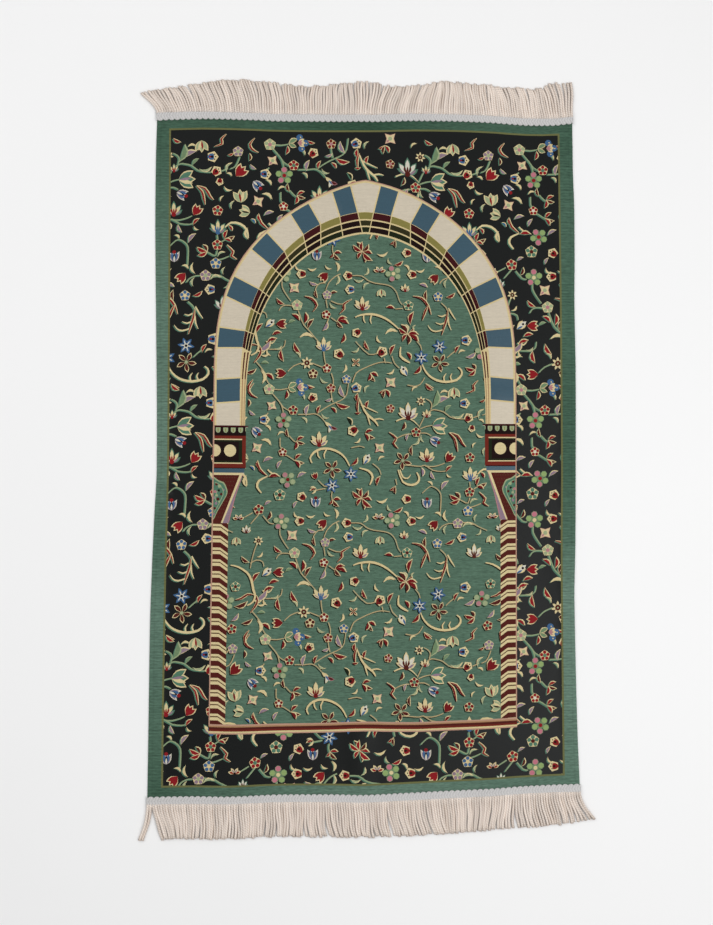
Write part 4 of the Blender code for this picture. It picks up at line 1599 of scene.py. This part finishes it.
    def colour(self, mesh: bpy.types.Mesh, shown: np.ndarray, lightness: np.ndarray) -> None:
        """Gives each face its yarn's colour and its weave, on the face's corners, with painted light and
        shade on the hem.

        Args:
            mesh: The cloth's.
            shown: The patch that each upper triangle shows; 0 is the hem, as is all the rest.
            lightness: Painted light and shade at each point, as the share of the hem yarn's colour shown
                there.
        """
        yarns = [Yarn.HEM_GREEN] + [patch.yarn for patch in self.design]
        corners, sides = corner_numbers(mesh)
        patch = np.repeat(np.concatenate([shown, np.zeros(len(sides) - len(shown), int)]), sides)
        tints = np.array([yarn.colour for yarn in yarns])[patch]
        in_hem = patch == 0
        # Painted light and shade on the hem: its colour is scaled by place, with red and blue darkened more
        # than green where it is darker.
        tints[in_hem, :3] *= lightness[corners[in_hem], None] ** self.deepening
        carry(mesh, "yarn_colour", "CORNER", tints)
        carry(mesh, "weave", "CORNER", np.array([yarn.weave.value for yarn in yarns])[patch])

    def lay_map(self, mesh: bpy.types.Mesh, u: np.ndarray, v: np.ndarray, upper_faces: int) -> None:
        """Lays the sheet flat in one map: the upper side large, the underside small beside it.

        A place on the map is its place on the true rectangle times one scale, and half that on
        the underside.

        Args:
            mesh: The cloth's.
            u: Each point's place across the true rectangle.
            v: Each point's place along it.
            upper_faces: Number of faces of the upper side and the rim.
        """
        form = self.form
        scale = self.top_share / (2.0 * form.half_cut)
        small = scale * self.underside_scale
        margin = (1.0 - self.top_share) / 2.0
        beside = 2.0 * margin + form.width * scale
        corners, sides = corner_numbers(mesh)
        on_top = np.repeat(np.arange(len(sides)) < upper_faces, sides)
        across, up = (u + form.half_width)[corners], (v + form.half_cut)[corners]
        lay_out(mesh, "OFBake", np.column_stack([
            np.where(on_top, margin + across * scale, beside + across * small),
            margin + up * np.where(on_top, scale, small)]))


# ---------------------------------------------------------------- the fringes
Part = tuple[np.ndarray, list[list[int]], np.ndarray, np.ndarray]


def counted(*sizes: int) -> list[np.ndarray]:
    """Every combination of whole numbers below these sizes, the last one running fastest."""
    return [part.ravel() for part in np.indices(sizes)]


@dataclass
class Fringe:
    """A braid sewn over one end of the cloth, and its row of two-ply cords.

    Rows of a lean are (root's place across, sideways lean of the tip in mm), and rows of a reach
    are (root's place, how much longer the cord is than usual, in mm). A part is its points, its
    faces, and for each corner of each face its spot on the flat map and on the strand's.
    """

    form: RugForm
    name: str
    end: int
    seed: int
    lean_table: Rows
    reach_table: Rows
    finish: bpy.types.Material
    braid_width: float = 0.0155
    braid_thick: float = 0.0018
    braid_gap: float = 0.0004
    braid_past_hem: float = 0.001
    scallop_depth: float = 0.0024
    scallop_pitch: float = 0.0093
    rib_pitch: float = 0.00465
    rib_height: float = 0.0007
    rib_lean: float = 0.8
    braid_steps: int = 6
    braid_top: tuple[float, ...] = (0.0, 0.02, 0.06, 0.14, 0.24, 0.34, 0.44, 0.5, 0.56, 0.66, 0.76, 0.86,
                                    0.94, 0.98, 1.0)
    braid_under: tuple[float, ...] = (0.97, 0.5, 0.03)
    seams: Rows = ((0.45, 0.5, 0.05), (0.35, 0.86, 0.04))
    cords: int = 168
    cord_reach: float = 0.0505
    reach_scatter: float = 0.0019
    clump_smallest: int = 8
    clump_largest: int = 16
    clump_pull: float = 0.035
    clump_lean: float = 0.0018
    cord_half: float = 0.00228
    cord_stations: int = 12
    cord_sides: int = 5
    root_share: float = -0.06
    root_rise: float = 0.0009
    knee_share: float = 0.17
    lean_power: float = 1.35
    sway: float = 0.0020
    phase_step: float = 0.9
    tip_swell: float = 0.12
    flatness: float = 0.9
    floor_gap: float = 0.00005
    strand_step: float = 0.0013

    @property
    def half(self) -> float:
        """Half the braid's length."""
        return self.form.half_width + self.braid_past_hem

    def clump_pulls(self) -> np.ndarray:
        """Sideways pull at each tip: the cords of a clump draw in to its middle and lean one way.

        Returns:
            The pulls in metres, cord by cord.
        """
        draw = random.Random(self.seed)
        pulls: list[float] = []
        while len(pulls) < self.cords:
            count = draw.randint(self.clump_smallest, self.clump_largest)
            lean = draw.uniform(-1.0, 1.0) * self.clump_lean
            drawn_in = self.clump_pull * self.form.width / self.cords
            pulls += [lean + ((count - 1) / 2.0 - place) * drawn_in for place in range(count)]
        return np.array(pulls[:self.cords])

    def braid_line(self, u: np.ndarray, past_line: np.ndarray) -> tuple[np.ndarray, np.ndarray, np.ndarray]:
        """Where the braid's underside lies.

        Args:
            u: Places across the rug.
            past_line: Distance out past the line where the cloth starts to show.

        Returns:
            The places x, y and z.
        """
        x, y = self.form.laid(u, np.full(np.shape(u), self.end * self.form.length / 2.0))
        y = y + self.end * past_line
        return x, y, self.form.lift(x, y) + self.form.thickness(u) + self.braid_gap

    def braid(self) -> Part:
        """The braid: a rounded section carried across the rug.

        The inner edge is drawn in by a row of half rounds, |cos| of the scallops' pitch, and the
        top rises in ribs, |sin| of the ribs' pitch, with two plaited rows that lean both ways.

        Returns:
            The part.
        """
        half = self.half
        across = np.linspace(-half, half, round(2.0 * half / self.rib_pitch) * self.braid_steps + 1)
        top, under = np.array(self.braid_top), np.zeros(len(self.braid_under))
        crown = np.clip(np.sin(math.pi * top) * 4.0, 0.0, 1.0) ** 0.5
        base = np.concatenate([0.35 + 0.65 * crown, under])
        relief = np.concatenate([crown, under])
        u, w = np.meshgrid(across, np.concatenate([top, self.braid_under]), indexing="ij")
        inner = self.scallop_depth * (1.0 - np.abs(np.cos(math.pi * u / self.scallop_pitch)) ** 0.7)
        lean = np.where(w < 0.5, w, 1.0 - w) * 2.0
        rib = np.abs(np.sin(math.pi * (u / self.rib_pitch + self.rib_lean * lean)))
        x, y, z = self.braid_line(u, inner + w * (self.braid_width - inner))
        seam = np.ones(w.shape)
        for depth, middle, wide in self.seams:
            seam = seam - depth * np.exp(-((w - middle) / wide) ** 2)
        z = z + base * (self.braid_thick - self.rib_height) * seam + relief * rib * self.rib_height * 1.6
        rings, sides = u.shape
        ring, side = counted(rings - 1, sides)
        first, after = ring * sides, (side + 1) % sides
        quads = np.column_stack([first + side, first + sides + side, first + sides + after, first + after])
        if self.end < 0:
            quads = quads[:, ::-1]
        last = (rings - 1) * sides
        caps = [list(range(sides))[::self.end], list(range(last, last + sides))[::-self.end]]
        faces = quads.tolist() + caps
        corners = np.concatenate(faces)
        spot = np.column_stack([(u.ravel() / (2.0 * half) + 0.5) * 0.98 + 0.01,
                                0.01 + 0.20 * np.tile(np.arange(sides) / sides, rings)])
        strand = np.column_stack([w.ravel(), u.ravel()])
        return np.stack([x, y, z], axis=-1).reshape(-1, 3), faces, spot[corners], strand[corners]

    def cord_points(self) -> np.ndarray:
        """Points of every cord: a round section carried along each.

        A cord leaves the braid's edge, drops to the floor at its knee and leans more and more
        towards its tip, with a slow sway. Each station's ring is a regular polygon about the
        line, and the last ring is a little wider, where the plies open.

        Returns:
            The points, cord by cord and ring by ring.
        """
        draw = random.Random(self.seed)

        def drawn(size: float) -> list[float]:
            """A random number up to a size either way for each cord."""
            return [draw.uniform(-size, size) for _ in range(self.cords)]

        bounds = np.linspace(-self.half, self.half, self.cords + 1)
        middles = (bounds[:-1] + bounds[1:]) / 2.0
        leans = MM * along(self.lean_table, middles) + self.clump_pulls()
        scatter = np.array(drawn(1.0))
        reaches = self.cord_reach + MM * along(self.reach_table, middles) + scatter * self.reach_scatter
        root_x, root_y, root_z = self.braid_line(middles, np.full(self.cords, self.braid_width))
        phase = np.cumsum(drawn(self.phase_step))[:, None]
        stray = np.array(drawn(1.0))[:, None]

        share = np.linspace(self.root_share, 1.0, self.cord_stations)[None, :]
        bend = np.clip(share, 0.0, 1.0)
        x = root_x[:, None] + leans[:, None] * bend ** self.lean_power
        x = x + self.sway * bend * (np.sin(5.0 * bend + phase) + 0.6 * stray * bend)
        y = root_y[:, None] + self.end * reaches[:, None] * share
        fall = np.clip(share / self.knee_share, 0.0, 1.0)
        fall = fall * fall * (3.0 - 2.0 * fall)
        rest = self.cord_half * (0.86 + 0.5 * (1.0 + stray) * np.sin(math.pi * bend))
        z = (root_z[:, None] + self.root_rise) * (1.0 - fall) + rest * fall
        line = np.stack([x, y, z], axis=-1)
        way = np.gradient(line, axis=1)
        way /= np.linalg.norm(way, axis=-1, keepdims=True)
        aside = np.cross(np.array([0.0, 0.0, 1.0]), way)
        aside /= np.linalg.norm(aside, axis=-1, keepdims=True)
        over = np.cross(way, aside)

        around = np.arange(self.cord_sides) * (2.0 * math.pi / self.cord_sides) + phase[:, :, None]
        swell = 1.0 + self.tip_swell * np.clip((share - 0.93) / 0.07, 0.0, 1.0)[:, :, None]
        wide, high = self.cord_half * np.cos(around) * swell, self.cord_half * np.sin(around) * swell
        points = (line[:, :, None, :] + aside[:, :, None, :] * wide[..., None]
                  + over[:, :, None, :] * (high * self.flatness)[..., None])
        points[..., 2] = np.maximum(points[..., 2], self.floor_gap)
        return points.reshape(-1, 3)

    def cord_rows(self) -> Part:
        """All the cords at once, each a closed tube.

        Returns:
            The part.
        """
        stations, sides = self.cord_stations, self.cord_sides
        cord, station, side = counted(self.cords, stations - 1, sides)
        first = (cord * stations + station) * sides
        after = (side + 1) % sides
        quads = np.column_stack([first + side, first + after, first + sides + after, first + sides + side])
        ends = np.arange(self.cords)[:, None] * stations * sides
        ring = np.arange(sides)
        tips = ends + (stations - 1) * sides + ring
        faces = quads.tolist() + (ends + ring[::-1]).tolist() + tips.tolist()

        quad_around = np.column_stack([side, side + 1, side + 1, side]) / sides
        quad_along = np.column_stack([station, station, station + 1, station + 1]) / (stations - 1)
        spot_u = (cord[:, None] + 0.08 + 0.84 * quad_around) / self.cords
        cap_u = np.repeat((np.arange(self.cords) + 0.5) / self.cords, sides)
        low, high = np.full(cap_u.size, 0.25), np.full(cap_u.size, 0.99)
        spot = np.column_stack([np.concatenate([spot_u.ravel(), cap_u, cap_u]),
                                np.concatenate([(low[0] + 0.74 * quad_along).ravel(), low, high])])
        travel = quad_along * self.cord_reach + self.strand_step * cord[:, None]
        strand = np.column_stack([np.concatenate([(quad_around + 2.0).ravel(), np.full(2 * cap_u.size, 2.5)]),
                                  np.concatenate([travel.ravel(), np.zeros(2 * cap_u.size)])])
        return self.cord_points(), faces, spot, strand

    def build(self) -> bpy.types.Object:
        """Makes the braid and its cords as one piece, with its flat map and its strand map.

        Returns:
            The fringe.
        """
        braid_points, braid_faces, *braid_maps = self.braid()
        cord_points, cord_faces, *cord_maps = self.cord_rows()
        shift = len(braid_points)
        faces = braid_faces + [[corner + shift for corner in face] for face in cord_faces]
        made = sheet_object(self.name, np.concatenate([braid_points, cord_points]), faces, self.finish)
        for name, *spots in zip(("OFBake", "strand"), braid_maps, cord_maps):
            lay_out(made.data, name, np.concatenate(spots))
        draw = random.Random(self.seed + 1)
        per_cord = np.array([draw.uniform(-1.0, 1.0) for _ in range(self.cords)])
        tone = np.concatenate([np.zeros(shift), np.repeat(per_cord, self.cord_stations * self.cord_sides)])
        carry(made.data, "tone", "POINT", tone)
        return made


# ---------------------------------------------------------------- shader kit
def operator(operation: str, number_first: bool = False) -> Callable[["Wire", "Wire | float"], "Wire"]:
    """A wire's method for one operation.

    Args:
        operation: What its Math node does.
        number_first: Whether the other value comes first.

    Returns:
        The method.
    """
    def method(self: "Wire", other: "Wire | float") -> "Wire":
        """Adds the Math node."""
        return self.kit.maths(operation, *((other, self) if number_first else (self, other)))
    return method


class Wire:
    """A shader socket with arithmetic: an expression on wires adds its Math nodes."""

    def __init__(self, kit: "ShaderKit", socket: bpy.types.NodeSocket) -> None:
        self.kit = kit
        self.socket = socket

    __add__, __radd__ = operator("ADD"), operator("ADD", True)
    __sub__, __rsub__ = operator("SUBTRACT"), operator("SUBTRACT", True)
    __mul__, __rmul__ = operator("MULTIPLY"), operator("MULTIPLY", True)
    __truediv__ = operator("DIVIDE")


class ShaderKit:
    """Builds one material's nodes round its Principled shader."""

    def __init__(self, name: str) -> None:
        """Starts a material of this name."""
        self.material = bpy.data.materials.new(name)
        self.material.use_nodes = True
        self.tree = self.material.node_tree
        self.shader = self.tree.nodes["Principled BSDF"]

    def node(self, kind: str, settings: dict[str, Any] | None = None,
             sockets: dict[str | int, Any] | None = None) -> bpy.types.Node:
        """Adds a node.

        Args:
            kind: The node's type.
            settings: Its own settings, set first.
            sockets: A value or a wire for each input, by name or number.

        Returns:
            The node.
        """
        made = self.tree.nodes.new(kind)
        for key, value in (settings or {}).items():
            setattr(made, key, value)
        for key, value in (sockets or {}).items():
            self.feed(made.inputs[key], value)
        return made

    def feed(self, socket: bpy.types.NodeSocket, value: Any) -> None:
        """Links a wire to an input, or sets a plain value on it.

        Args:
            socket: The input.
            value: What it takes.
        """
        if isinstance(value, Wire):
            self.tree.links.new(value.socket, socket)
        else:
            socket.default_value = value

    def wire(self, kind: str, settings: dict[str, Any] | None = None,
             sockets: dict[str | int, Any] | None = None, output: str | int = 0) -> Wire:
        """Adds a node and returns one of its outputs as a wire."""
        return Wire(self, self.node(kind, settings, sockets).outputs[output])

    def maths(self, operation: str, first: Wire | float, second: Wire | float = 0.0,
              clamp: bool = False) -> Wire:
        """Adds a Math node."""
        settings = {"operation": operation, "use_clamp": clamp}
        return self.wire("ShaderNodeMath", settings, {0: first, 1: second})

    def clamped(self, value: Wire) -> Wire:
        """The value held between 0 and 1."""
        return self.maths("ADD", value, 0.0, True)

    def place(self, stretch: tuple[float, float, float] = (1.0, 1.0, 1.0)) -> Wire:
        """Object coordinates, stretched along each axis."""
        where = self.wire("ShaderNodeTexCoord", output="Object")
        return self.wire("ShaderNodeMapping", None, {"Vector": where, "Scale": stretch})

    def noise(self, at: Wire, scale: float, detail: float = 2.0, rough: float = 0.5) -> Wire:
        """A noise value about 0.5."""
        return self.wire("ShaderNodeTexNoise", {"noise_dimensions": "3D"},
                         {"Vector": at, "Scale": scale, "Detail": detail, "Roughness": rough})

    def drawn_out(self, stretch: tuple[float, float, float], rough: float = 0.55) -> Wire:
        """A noise value whose specks are 1 / stretch of a metre along each axis."""
        return self.noise(self.place(stretch), 1.0, 2.0, rough)

    def wave(self, at: Wire, direction: str, pitch: float, bend: float, detail: float = 1.0) -> Wire:
        """Even bands along one axis at a pitch, bent a little; at scale 1 the node's pitch is pi / 10.

        Args:
            at: Where.
            direction: The axis, as a letter.
            pitch: Metres from band to band.
            bend: How much they wander.
            detail: How finely they wander.

        Returns:
            A value from 0 to 1.
        """
        settings = {"wave_type": "BANDS", "bands_direction": direction, "wave_profile": "SIN"}
        return self.wire("ShaderNodeTexWave", settings,
                         {"Vector": at, "Scale": 0.1 * math.pi / pitch, "Distortion": bend,
                          "Detail": detail, "Detail Scale": 1.5})

    def attribute(self, name: str, output: str) -> Wire:
        """A value or colour that the mesh carries."""
        return self.wire("ShaderNodeAttribute", {"attribute_name": name}, None, output)

    def scaled(self, colour: Wire, by: Wire) -> Wire:
        """A colour made lighter or darker by a factor, channel by channel."""
        grey = self.wire("ShaderNodeCombineXYZ", None, {0: by, 1: by, 2: by})
        return self.wire("ShaderNodeVectorMath", {"operation": "MULTIPLY"}, {0: colour, 1: grey})

    def mixed(self, factor: Wire | float, first: Any, second: Any) -> Wire:
        """A blend of two colours."""
        return self.wire("ShaderNodeMix", {"data_type": "RGBA"}, {"Factor": factor, 6: first, 7: second}, 2)

    def bump(self, height: Wire, distance: float, strength: float) -> Wire:
        """A normal from a height, whose full height is the distance in metres."""
        sockets = {"Height": height, "Distance": distance, "Strength": strength}
        return self.wire("ShaderNodeBump", None, sockets)

    def dress(self, **sockets: Any) -> bpy.types.Material:
        """Feeds the Principled shader, by socket names with _ for a space, and returns the material."""
        for name, value in sockets.items():
            self.feed(self.shader.inputs[name.replace("_", " ")], value)
        return self.material


# ---------------------------------------------------------------- finishes
@dataclass(frozen=True)
class WovenFinish:
    """The woven cloth: flat satin, firm tapestry and furry chenille, by the mesh's own weave."""

    name: str = "woven_cloth_yarns"
    pick_pitch: float = 0.0026
    end_pitch: float = 0.0023
    slub_stretch: tuple[float, float, float] = (110.0, 560.0, 60.0)
    streak_stretch: tuple[float, float, float] = (20.0, 230.0, 20.0)
    fibre_stretch: tuple[float, float, float] = (900.0, 1500.0, 900.0)
    streak_depth: float = 0.36
    # Sizes of the painted light and shade along the side hems (rolled edge, puckers, ribs and fold line); the
    # puckers are in the bump too.
    hem_width: float = 0.0245
    hem_edge: float = 500.0
    rib_pitch: float = 0.005
    selvage: float = 0.006
    pucker_pitch: float = 0.0065
    fold_place: float = 0.0075
    fold_width: float = 0.0013
    relief_depth: float = 0.0006
    satin_rough: float = 0.60
    pile_rough: float = 0.90
    satin_coat: float = 0.95

    def make(self) -> bpy.types.Material:
        """Streaks of uneven yarn along X, fine picks and ends, a soft slubby bump, and painted light and
        shade on the side hems.

        Returns:
            The material.
        """
        kit = ShaderKit(self.name)
        yarn = kit.attribute("yarn_colour", "Color")
        weave = kit.attribute("weave", "Fac")
        pile = kit.maths("SUBTRACT", weave, 0.5, True) * 2.0
        satin = 1.0 - kit.maths("MULTIPLY", weave, 2.0, True)
        plain = kit.place()
        slub = kit.drawn_out(self.slub_stretch)
        streak = kit.drawn_out(self.streak_stretch)
        cloud = kit.noise(plain, 7.0)
        picks = kit.wave(plain, "Y", self.pick_pitch, 0.8)
        ends = kit.wave(plain, "X", self.end_pitch, 0.5)
        fibre = kit.drawn_out(self.fibre_stretch, 0.6)
        # Painted highlight near the cloth's edge, where the rolled edge is lighter; its puckers get painted
        # shade.
        edge = kit.clamped(1.0 - kit.attribute("from_edge", "Fac") / self.selvage)
        pucker = kit.wave(kit.place((0.25, 1.0, 1.0)), "Y", self.pucker_pitch, 1.6, 2.0)
        hem = kit.clamped((self.hem_width - kit.attribute("from_edge", "Fac")) * self.hem_edge)
        ribs = kit.wave(kit.place((0.4, 1.0, 1.0)), "Y", self.rib_pitch, 1.4, 2.0)
        # A line along the hem's fold, darkened as painted shade.
        from_fold = kit.maths("ABSOLUTE", kit.attribute("from_edge", "Fac") - self.fold_place)
        fold = kit.clamped(1.0 - from_fold / self.fold_width)
        uneven = (slub - 0.5) * self.streak_depth * 3.0 + (streak - 0.5) * self.streak_depth * 1.6
        grain = (picks - 0.5) * 0.10 + (ends - 0.5) * 0.06 + (fibre - 0.5) * 0.22
        factor = 1.0 + uneven * (0.22 + pile * 0.78) + grain * (1.0 - satin * 0.5) + (cloud - 0.5) * 0.16
        # Painted light and shade: a lighter rolled edge with shaded puckers, shaded ribs across the side
        # hems, and a shaded fold line.
        factor = factor + edge * (0.10 + (pucker - 0.5) * 0.24) + hem * (ribs - 0.5) * 0.18 - fold * 0.10
        colour = kit.scaled(yarn, factor)
        relief = slub * (0.25 + pile * 0.75) + picks * 0.22 + ends * (0.16 + satin * 0.10) + fibre * 0.25
        relief = relief + edge * pucker * 0.8
        rough = self.pile_rough - satin * (self.pile_rough - self.satin_rough) + (fibre - 0.5) * 0.10
        return kit.dress(Base_Color=colour, Roughness=rough, Normal=kit.bump(relief, self.relief_depth, 0.55),
                         Sheen_Weight=0.03, Sheen_Roughness=0.5, Specular_IOR_Level=0.03,
                         Coat_Roughness=0.41, Coat_Weight=satin * satin * satin * self.satin_coat)


@dataclass(frozen=True)
class CottonFinish:
    """Undyed cotton: two plies that wind round each cord, and a paler, greyer braid."""

    name: str = "undyed_cotton"
    cord_colour: tuple[float, float, float] = (223, 210, 199)
    # Painted shade: the darker, warmer colour that the cords take near the floor, and the height below which
    # it shows.
    floor_shade_colour: tuple[float, float, float] = (158, 128, 98)
    braid_colour: tuple[float, float, float] = (193, 191, 190)
    floor_shade_height: float = 0.0042
    plies: float = 2.0
    rib_pitch: float = 0.00465
    rib_lean: float = 0.8
    ply_pitch: float = 0.0036

    def make(self) -> bpy.types.Material:
        """Lines slant across the strand map: the map's turn plus its length, as a sine.

        Returns:
            The material.
        """
        kit = ShaderKit(self.name)
        strand = kit.wire("ShaderNodeUVMap", {"uv_map": "strand"})
        split = kit.node("ShaderNodeSeparateXYZ", None, {"Vector": strand})
        around, travel = (Wire(kit, split.outputs[axis]) for axis in "XY")
        is_cord = kit.maths("GREATER_THAN", around, 1.5)
        tone = kit.attribute("tone", "Fac")
        slant = around * (2.0 * math.pi * self.plies) + travel * (2.0 * math.pi / self.ply_pitch)
        lines = kit.maths("SINE", slant) * 0.5 + 0.5
        plain = kit.place()
        fluff = kit.noise(plain, 1400.0, 2.0, 0.6)
        cloud = kit.noise(plain, 18.0)
        height = kit.wire("ShaderNodeSeparateXYZ", None, {"Vector": plain}, "Z")
        # Painted shade: the cords are darker and warmer low down, near the floor.
        low = kit.clamped(1.0 - height / self.floor_shade_height)
        cord = kit.mixed(low, linear(*self.cord_colour), linear(*self.floor_shade_colour))
        colour = kit.mixed(is_cord, linear(*self.braid_colour), cord)
        lean = 1.0 - kit.maths("ABSOLUTE", around * 2.0 - 1.0)
        turn = math.pi * (travel / self.rib_pitch + lean * self.rib_lean)
        rib = kit.maths("ABSOLUTE", kit.maths("SINE", turn))
        # Painted shade in the grooves between the braid's ribs and between each cord's two plies.
        plaited = (1.0 - is_cord) * (rib - 0.7) * 0.22 + is_cord * (lines - 0.6) * 0.22
        factor = 1.0 + (fluff - 0.5) * 0.20 + (cloud - 0.5) * 0.14 + tone * 0.11 + plaited
        normal = kit.bump(lines * is_cord + fluff * 0.4, 0.0005, 0.5)
        return kit.dress(Base_Color=kit.scaled(colour, factor), Roughness=0.88, Normal=normal,
                         Sheen_Weight=0.15, Sheen_Roughness=0.5, Specular_IOR_Level=0.3)


@dataclass(frozen=True)
class FloorFinish:
    """A plain pale floor."""

    name: str = "pale_floor"
    colour: tuple[float, float, float] = (239, 239, 239)

    def make(self) -> bpy.types.Material:
        """Flat paint with the faintest cloud in it.

        Returns:
            The material.
        """
        kit = ShaderKit(self.name)
        cloud = kit.noise(kit.place(), 3.0)
        low, high = (linear(*(part + step for part in self.colour)) for step in (-1.0, 1.0))
        return kit.dress(Base_Color=kit.mixed(cloud, low, high), Roughness=0.9, Specular_IOR_Level=0.2)


# ---------------------------------------------------------------- floor, light and camera
@dataclass(frozen=True)
class Studio:
    """A pale floor, soft studio light and the camera above the rug."""

    floor_half: float = 4.0
    camera_place: tuple[float, float, float] = (-0.1514, -0.1425, 2.1307)
    camera_ahead: tuple[float, float, float] = (0.0634, 0.0582, -0.9963)
    camera_up: tuple[float, float, float] = (-0.0007, 0.9983, 0.0583)
    lens: float = 50.6
    sensor_height: float = 36.0
    world_light: float = 0.42
    lights: Rows = ((1.12, -0.5, 2.3, 1.6, 30), (-2.2, 0.9, 2.6, 2.2, 38), (0.3, 2.6, 2.6, 2.4, 20))

    def floor(self) -> bpy.types.Object:
        """One level square of floor.

        Returns:
            The floor.
        """
        half = self.floor_half
        corners = np.column_stack([box(-half, -half, half, half), np.zeros(4)])
        made = sheet_object("floor", corners, [[0, 1, 2, 3]], FloorFinish().make(), False)
        return made

    def camera(self) -> bpy.types.Object:
        """The camera, from its place, the way it looks and its upper side.

        Returns:
            The camera.
        """
        data = bpy.data.cameras.new("camera")
        data.sensor_fit = "VERTICAL"
        data.sensor_height = self.sensor_height
        data.lens = self.lens
        made = bpy.data.objects.new("camera", data)
        bpy.context.scene.collection.objects.link(made)
        back = -Vector(self.camera_ahead).normalized()
        across = Vector(self.camera_up).cross(back).normalized()
        up = back.cross(across)
        turn = Matrix((across, up, back)).transposed()
        made.matrix_world = Matrix.Translation(self.camera_place) @ turn.to_4x4()
        bpy.context.scene.camera = made
        return made

    def light_up(self) -> None:
        """A pale world and soft square lights, each row (x, y, z, size, watts), turned to the rug."""
        world = bpy.data.worlds.new("studio")
        bpy.context.scene.world = world
        world.use_nodes = True
        sky = world.node_tree.nodes["Background"]
        sky.inputs["Color"].default_value = (1.0, 1.0, 1.0, 1.0)
        sky.inputs["Strength"].default_value = self.world_light
        for number, (x, y, z, size, watts) in enumerate(self.lights):
            data = bpy.data.lights.new(f"soft_light_{number}", "AREA")
            data.shape = "SQUARE"
            data.size = size
            data.energy = watts
            made = bpy.data.objects.new(data.name, data)
            bpy.context.scene.collection.objects.link(made)
            made.location = (x, y, z)
            made.rotation_euler = (-Vector((x, y, z))).to_track_quat("-Z", "Y").to_euler()


# ---------------------------------------------------------------- the whole scene
TOP_LEAN = (
    (-0.352, -28.5), (-0.32, -23), (-0.28, -17), (-0.24, -13), (-0.18, -8), (-0.12, -2), (-0.075, 5),
    (-0.02, 0), (0.03, 12), (0.06, 12.5), (0.10, 8), (0.14, 1), (0.18, -5), (0.25, -9), (0.31, -12),
    (0.335, -8), (0.352, 3))
BOTTOM_LEAN = (
    (-0.352, -15.5), (-0.345, -13), (-0.342, 15), (-0.30, 8), (-0.25, 1.5), (-0.14, 2), (-0.05, 5), (0.05, 9),
    (0.11, 10), (0.16, 3), (0.21, -4), (0.236, -5), (0.243, 4), (0.30, 10), (0.335, 15), (0.352, 23.5))
TOP_REACH = (
    (-0.352, -19), (-0.325, -14), (-0.28, -9), (-0.24, 0), (-0.18, 2), (-0.10, -5), (-0.05, -1), (0, 3),
    (0.03, -5), (0.08, -4), (0.12, 2), (0.20, 0), (0.31, -2), (0.325, 6), (0.352, 4.5))
BOTTOM_REACH = ((-0.352, 2), (-0.10, 1.5), (0.12, 2.5), (0.22, 1), (0.30, -1), (0.352, -7))
TOP_SEED = 11
BOTTOM_SEED = 23


def report(piece: bpy.types.Object, node: str) -> None:
    """Fastens a piece to the rug in place of its solid, and logs its size.

    Args:
        piece: The piece.
        node: The solid that it stands for.
    """
    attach(piece, "root")
    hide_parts(node)
    LOG.info("%s: %d triangles", piece.name, sum(len(face.vertices) - 2 for face in piece.data.polygons))


def main() -> None:
    """Builds the rug's pieces in order, then the studio."""
    logging.basicConfig(level=logging.INFO, format="%(message)s")
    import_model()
    form = RugForm()
    loom = Loom(form)
    arch = WovenArch()
    design = [*loom.band(), *arch.patches(), *flora_patches(loom, arch)]
    cloth = WovenCloth(form, loom, design, WovenFinish().make()).build()
    report(cloth, "rug_cloth")
    cotton = CottonFinish().make()
    top = Fringe(form, "fringe_top_cords", 1, TOP_SEED, TOP_LEAN, TOP_REACH, cotton).build()
    report(top, "fringe_top")
    bottom = Fringe(form, "fringe_bottom_cords", -1, BOTTOM_SEED, BOTTOM_LEAN, BOTTOM_REACH, cotton).build()
    report(bottom, "fringe_bottom")

    studio = Studio()
    studio.floor()
    studio.light_up()
    studio.camera()
    bpy.context.scene.view_settings.view_transform = "Standard"


if __name__ == "__main__":
    main()
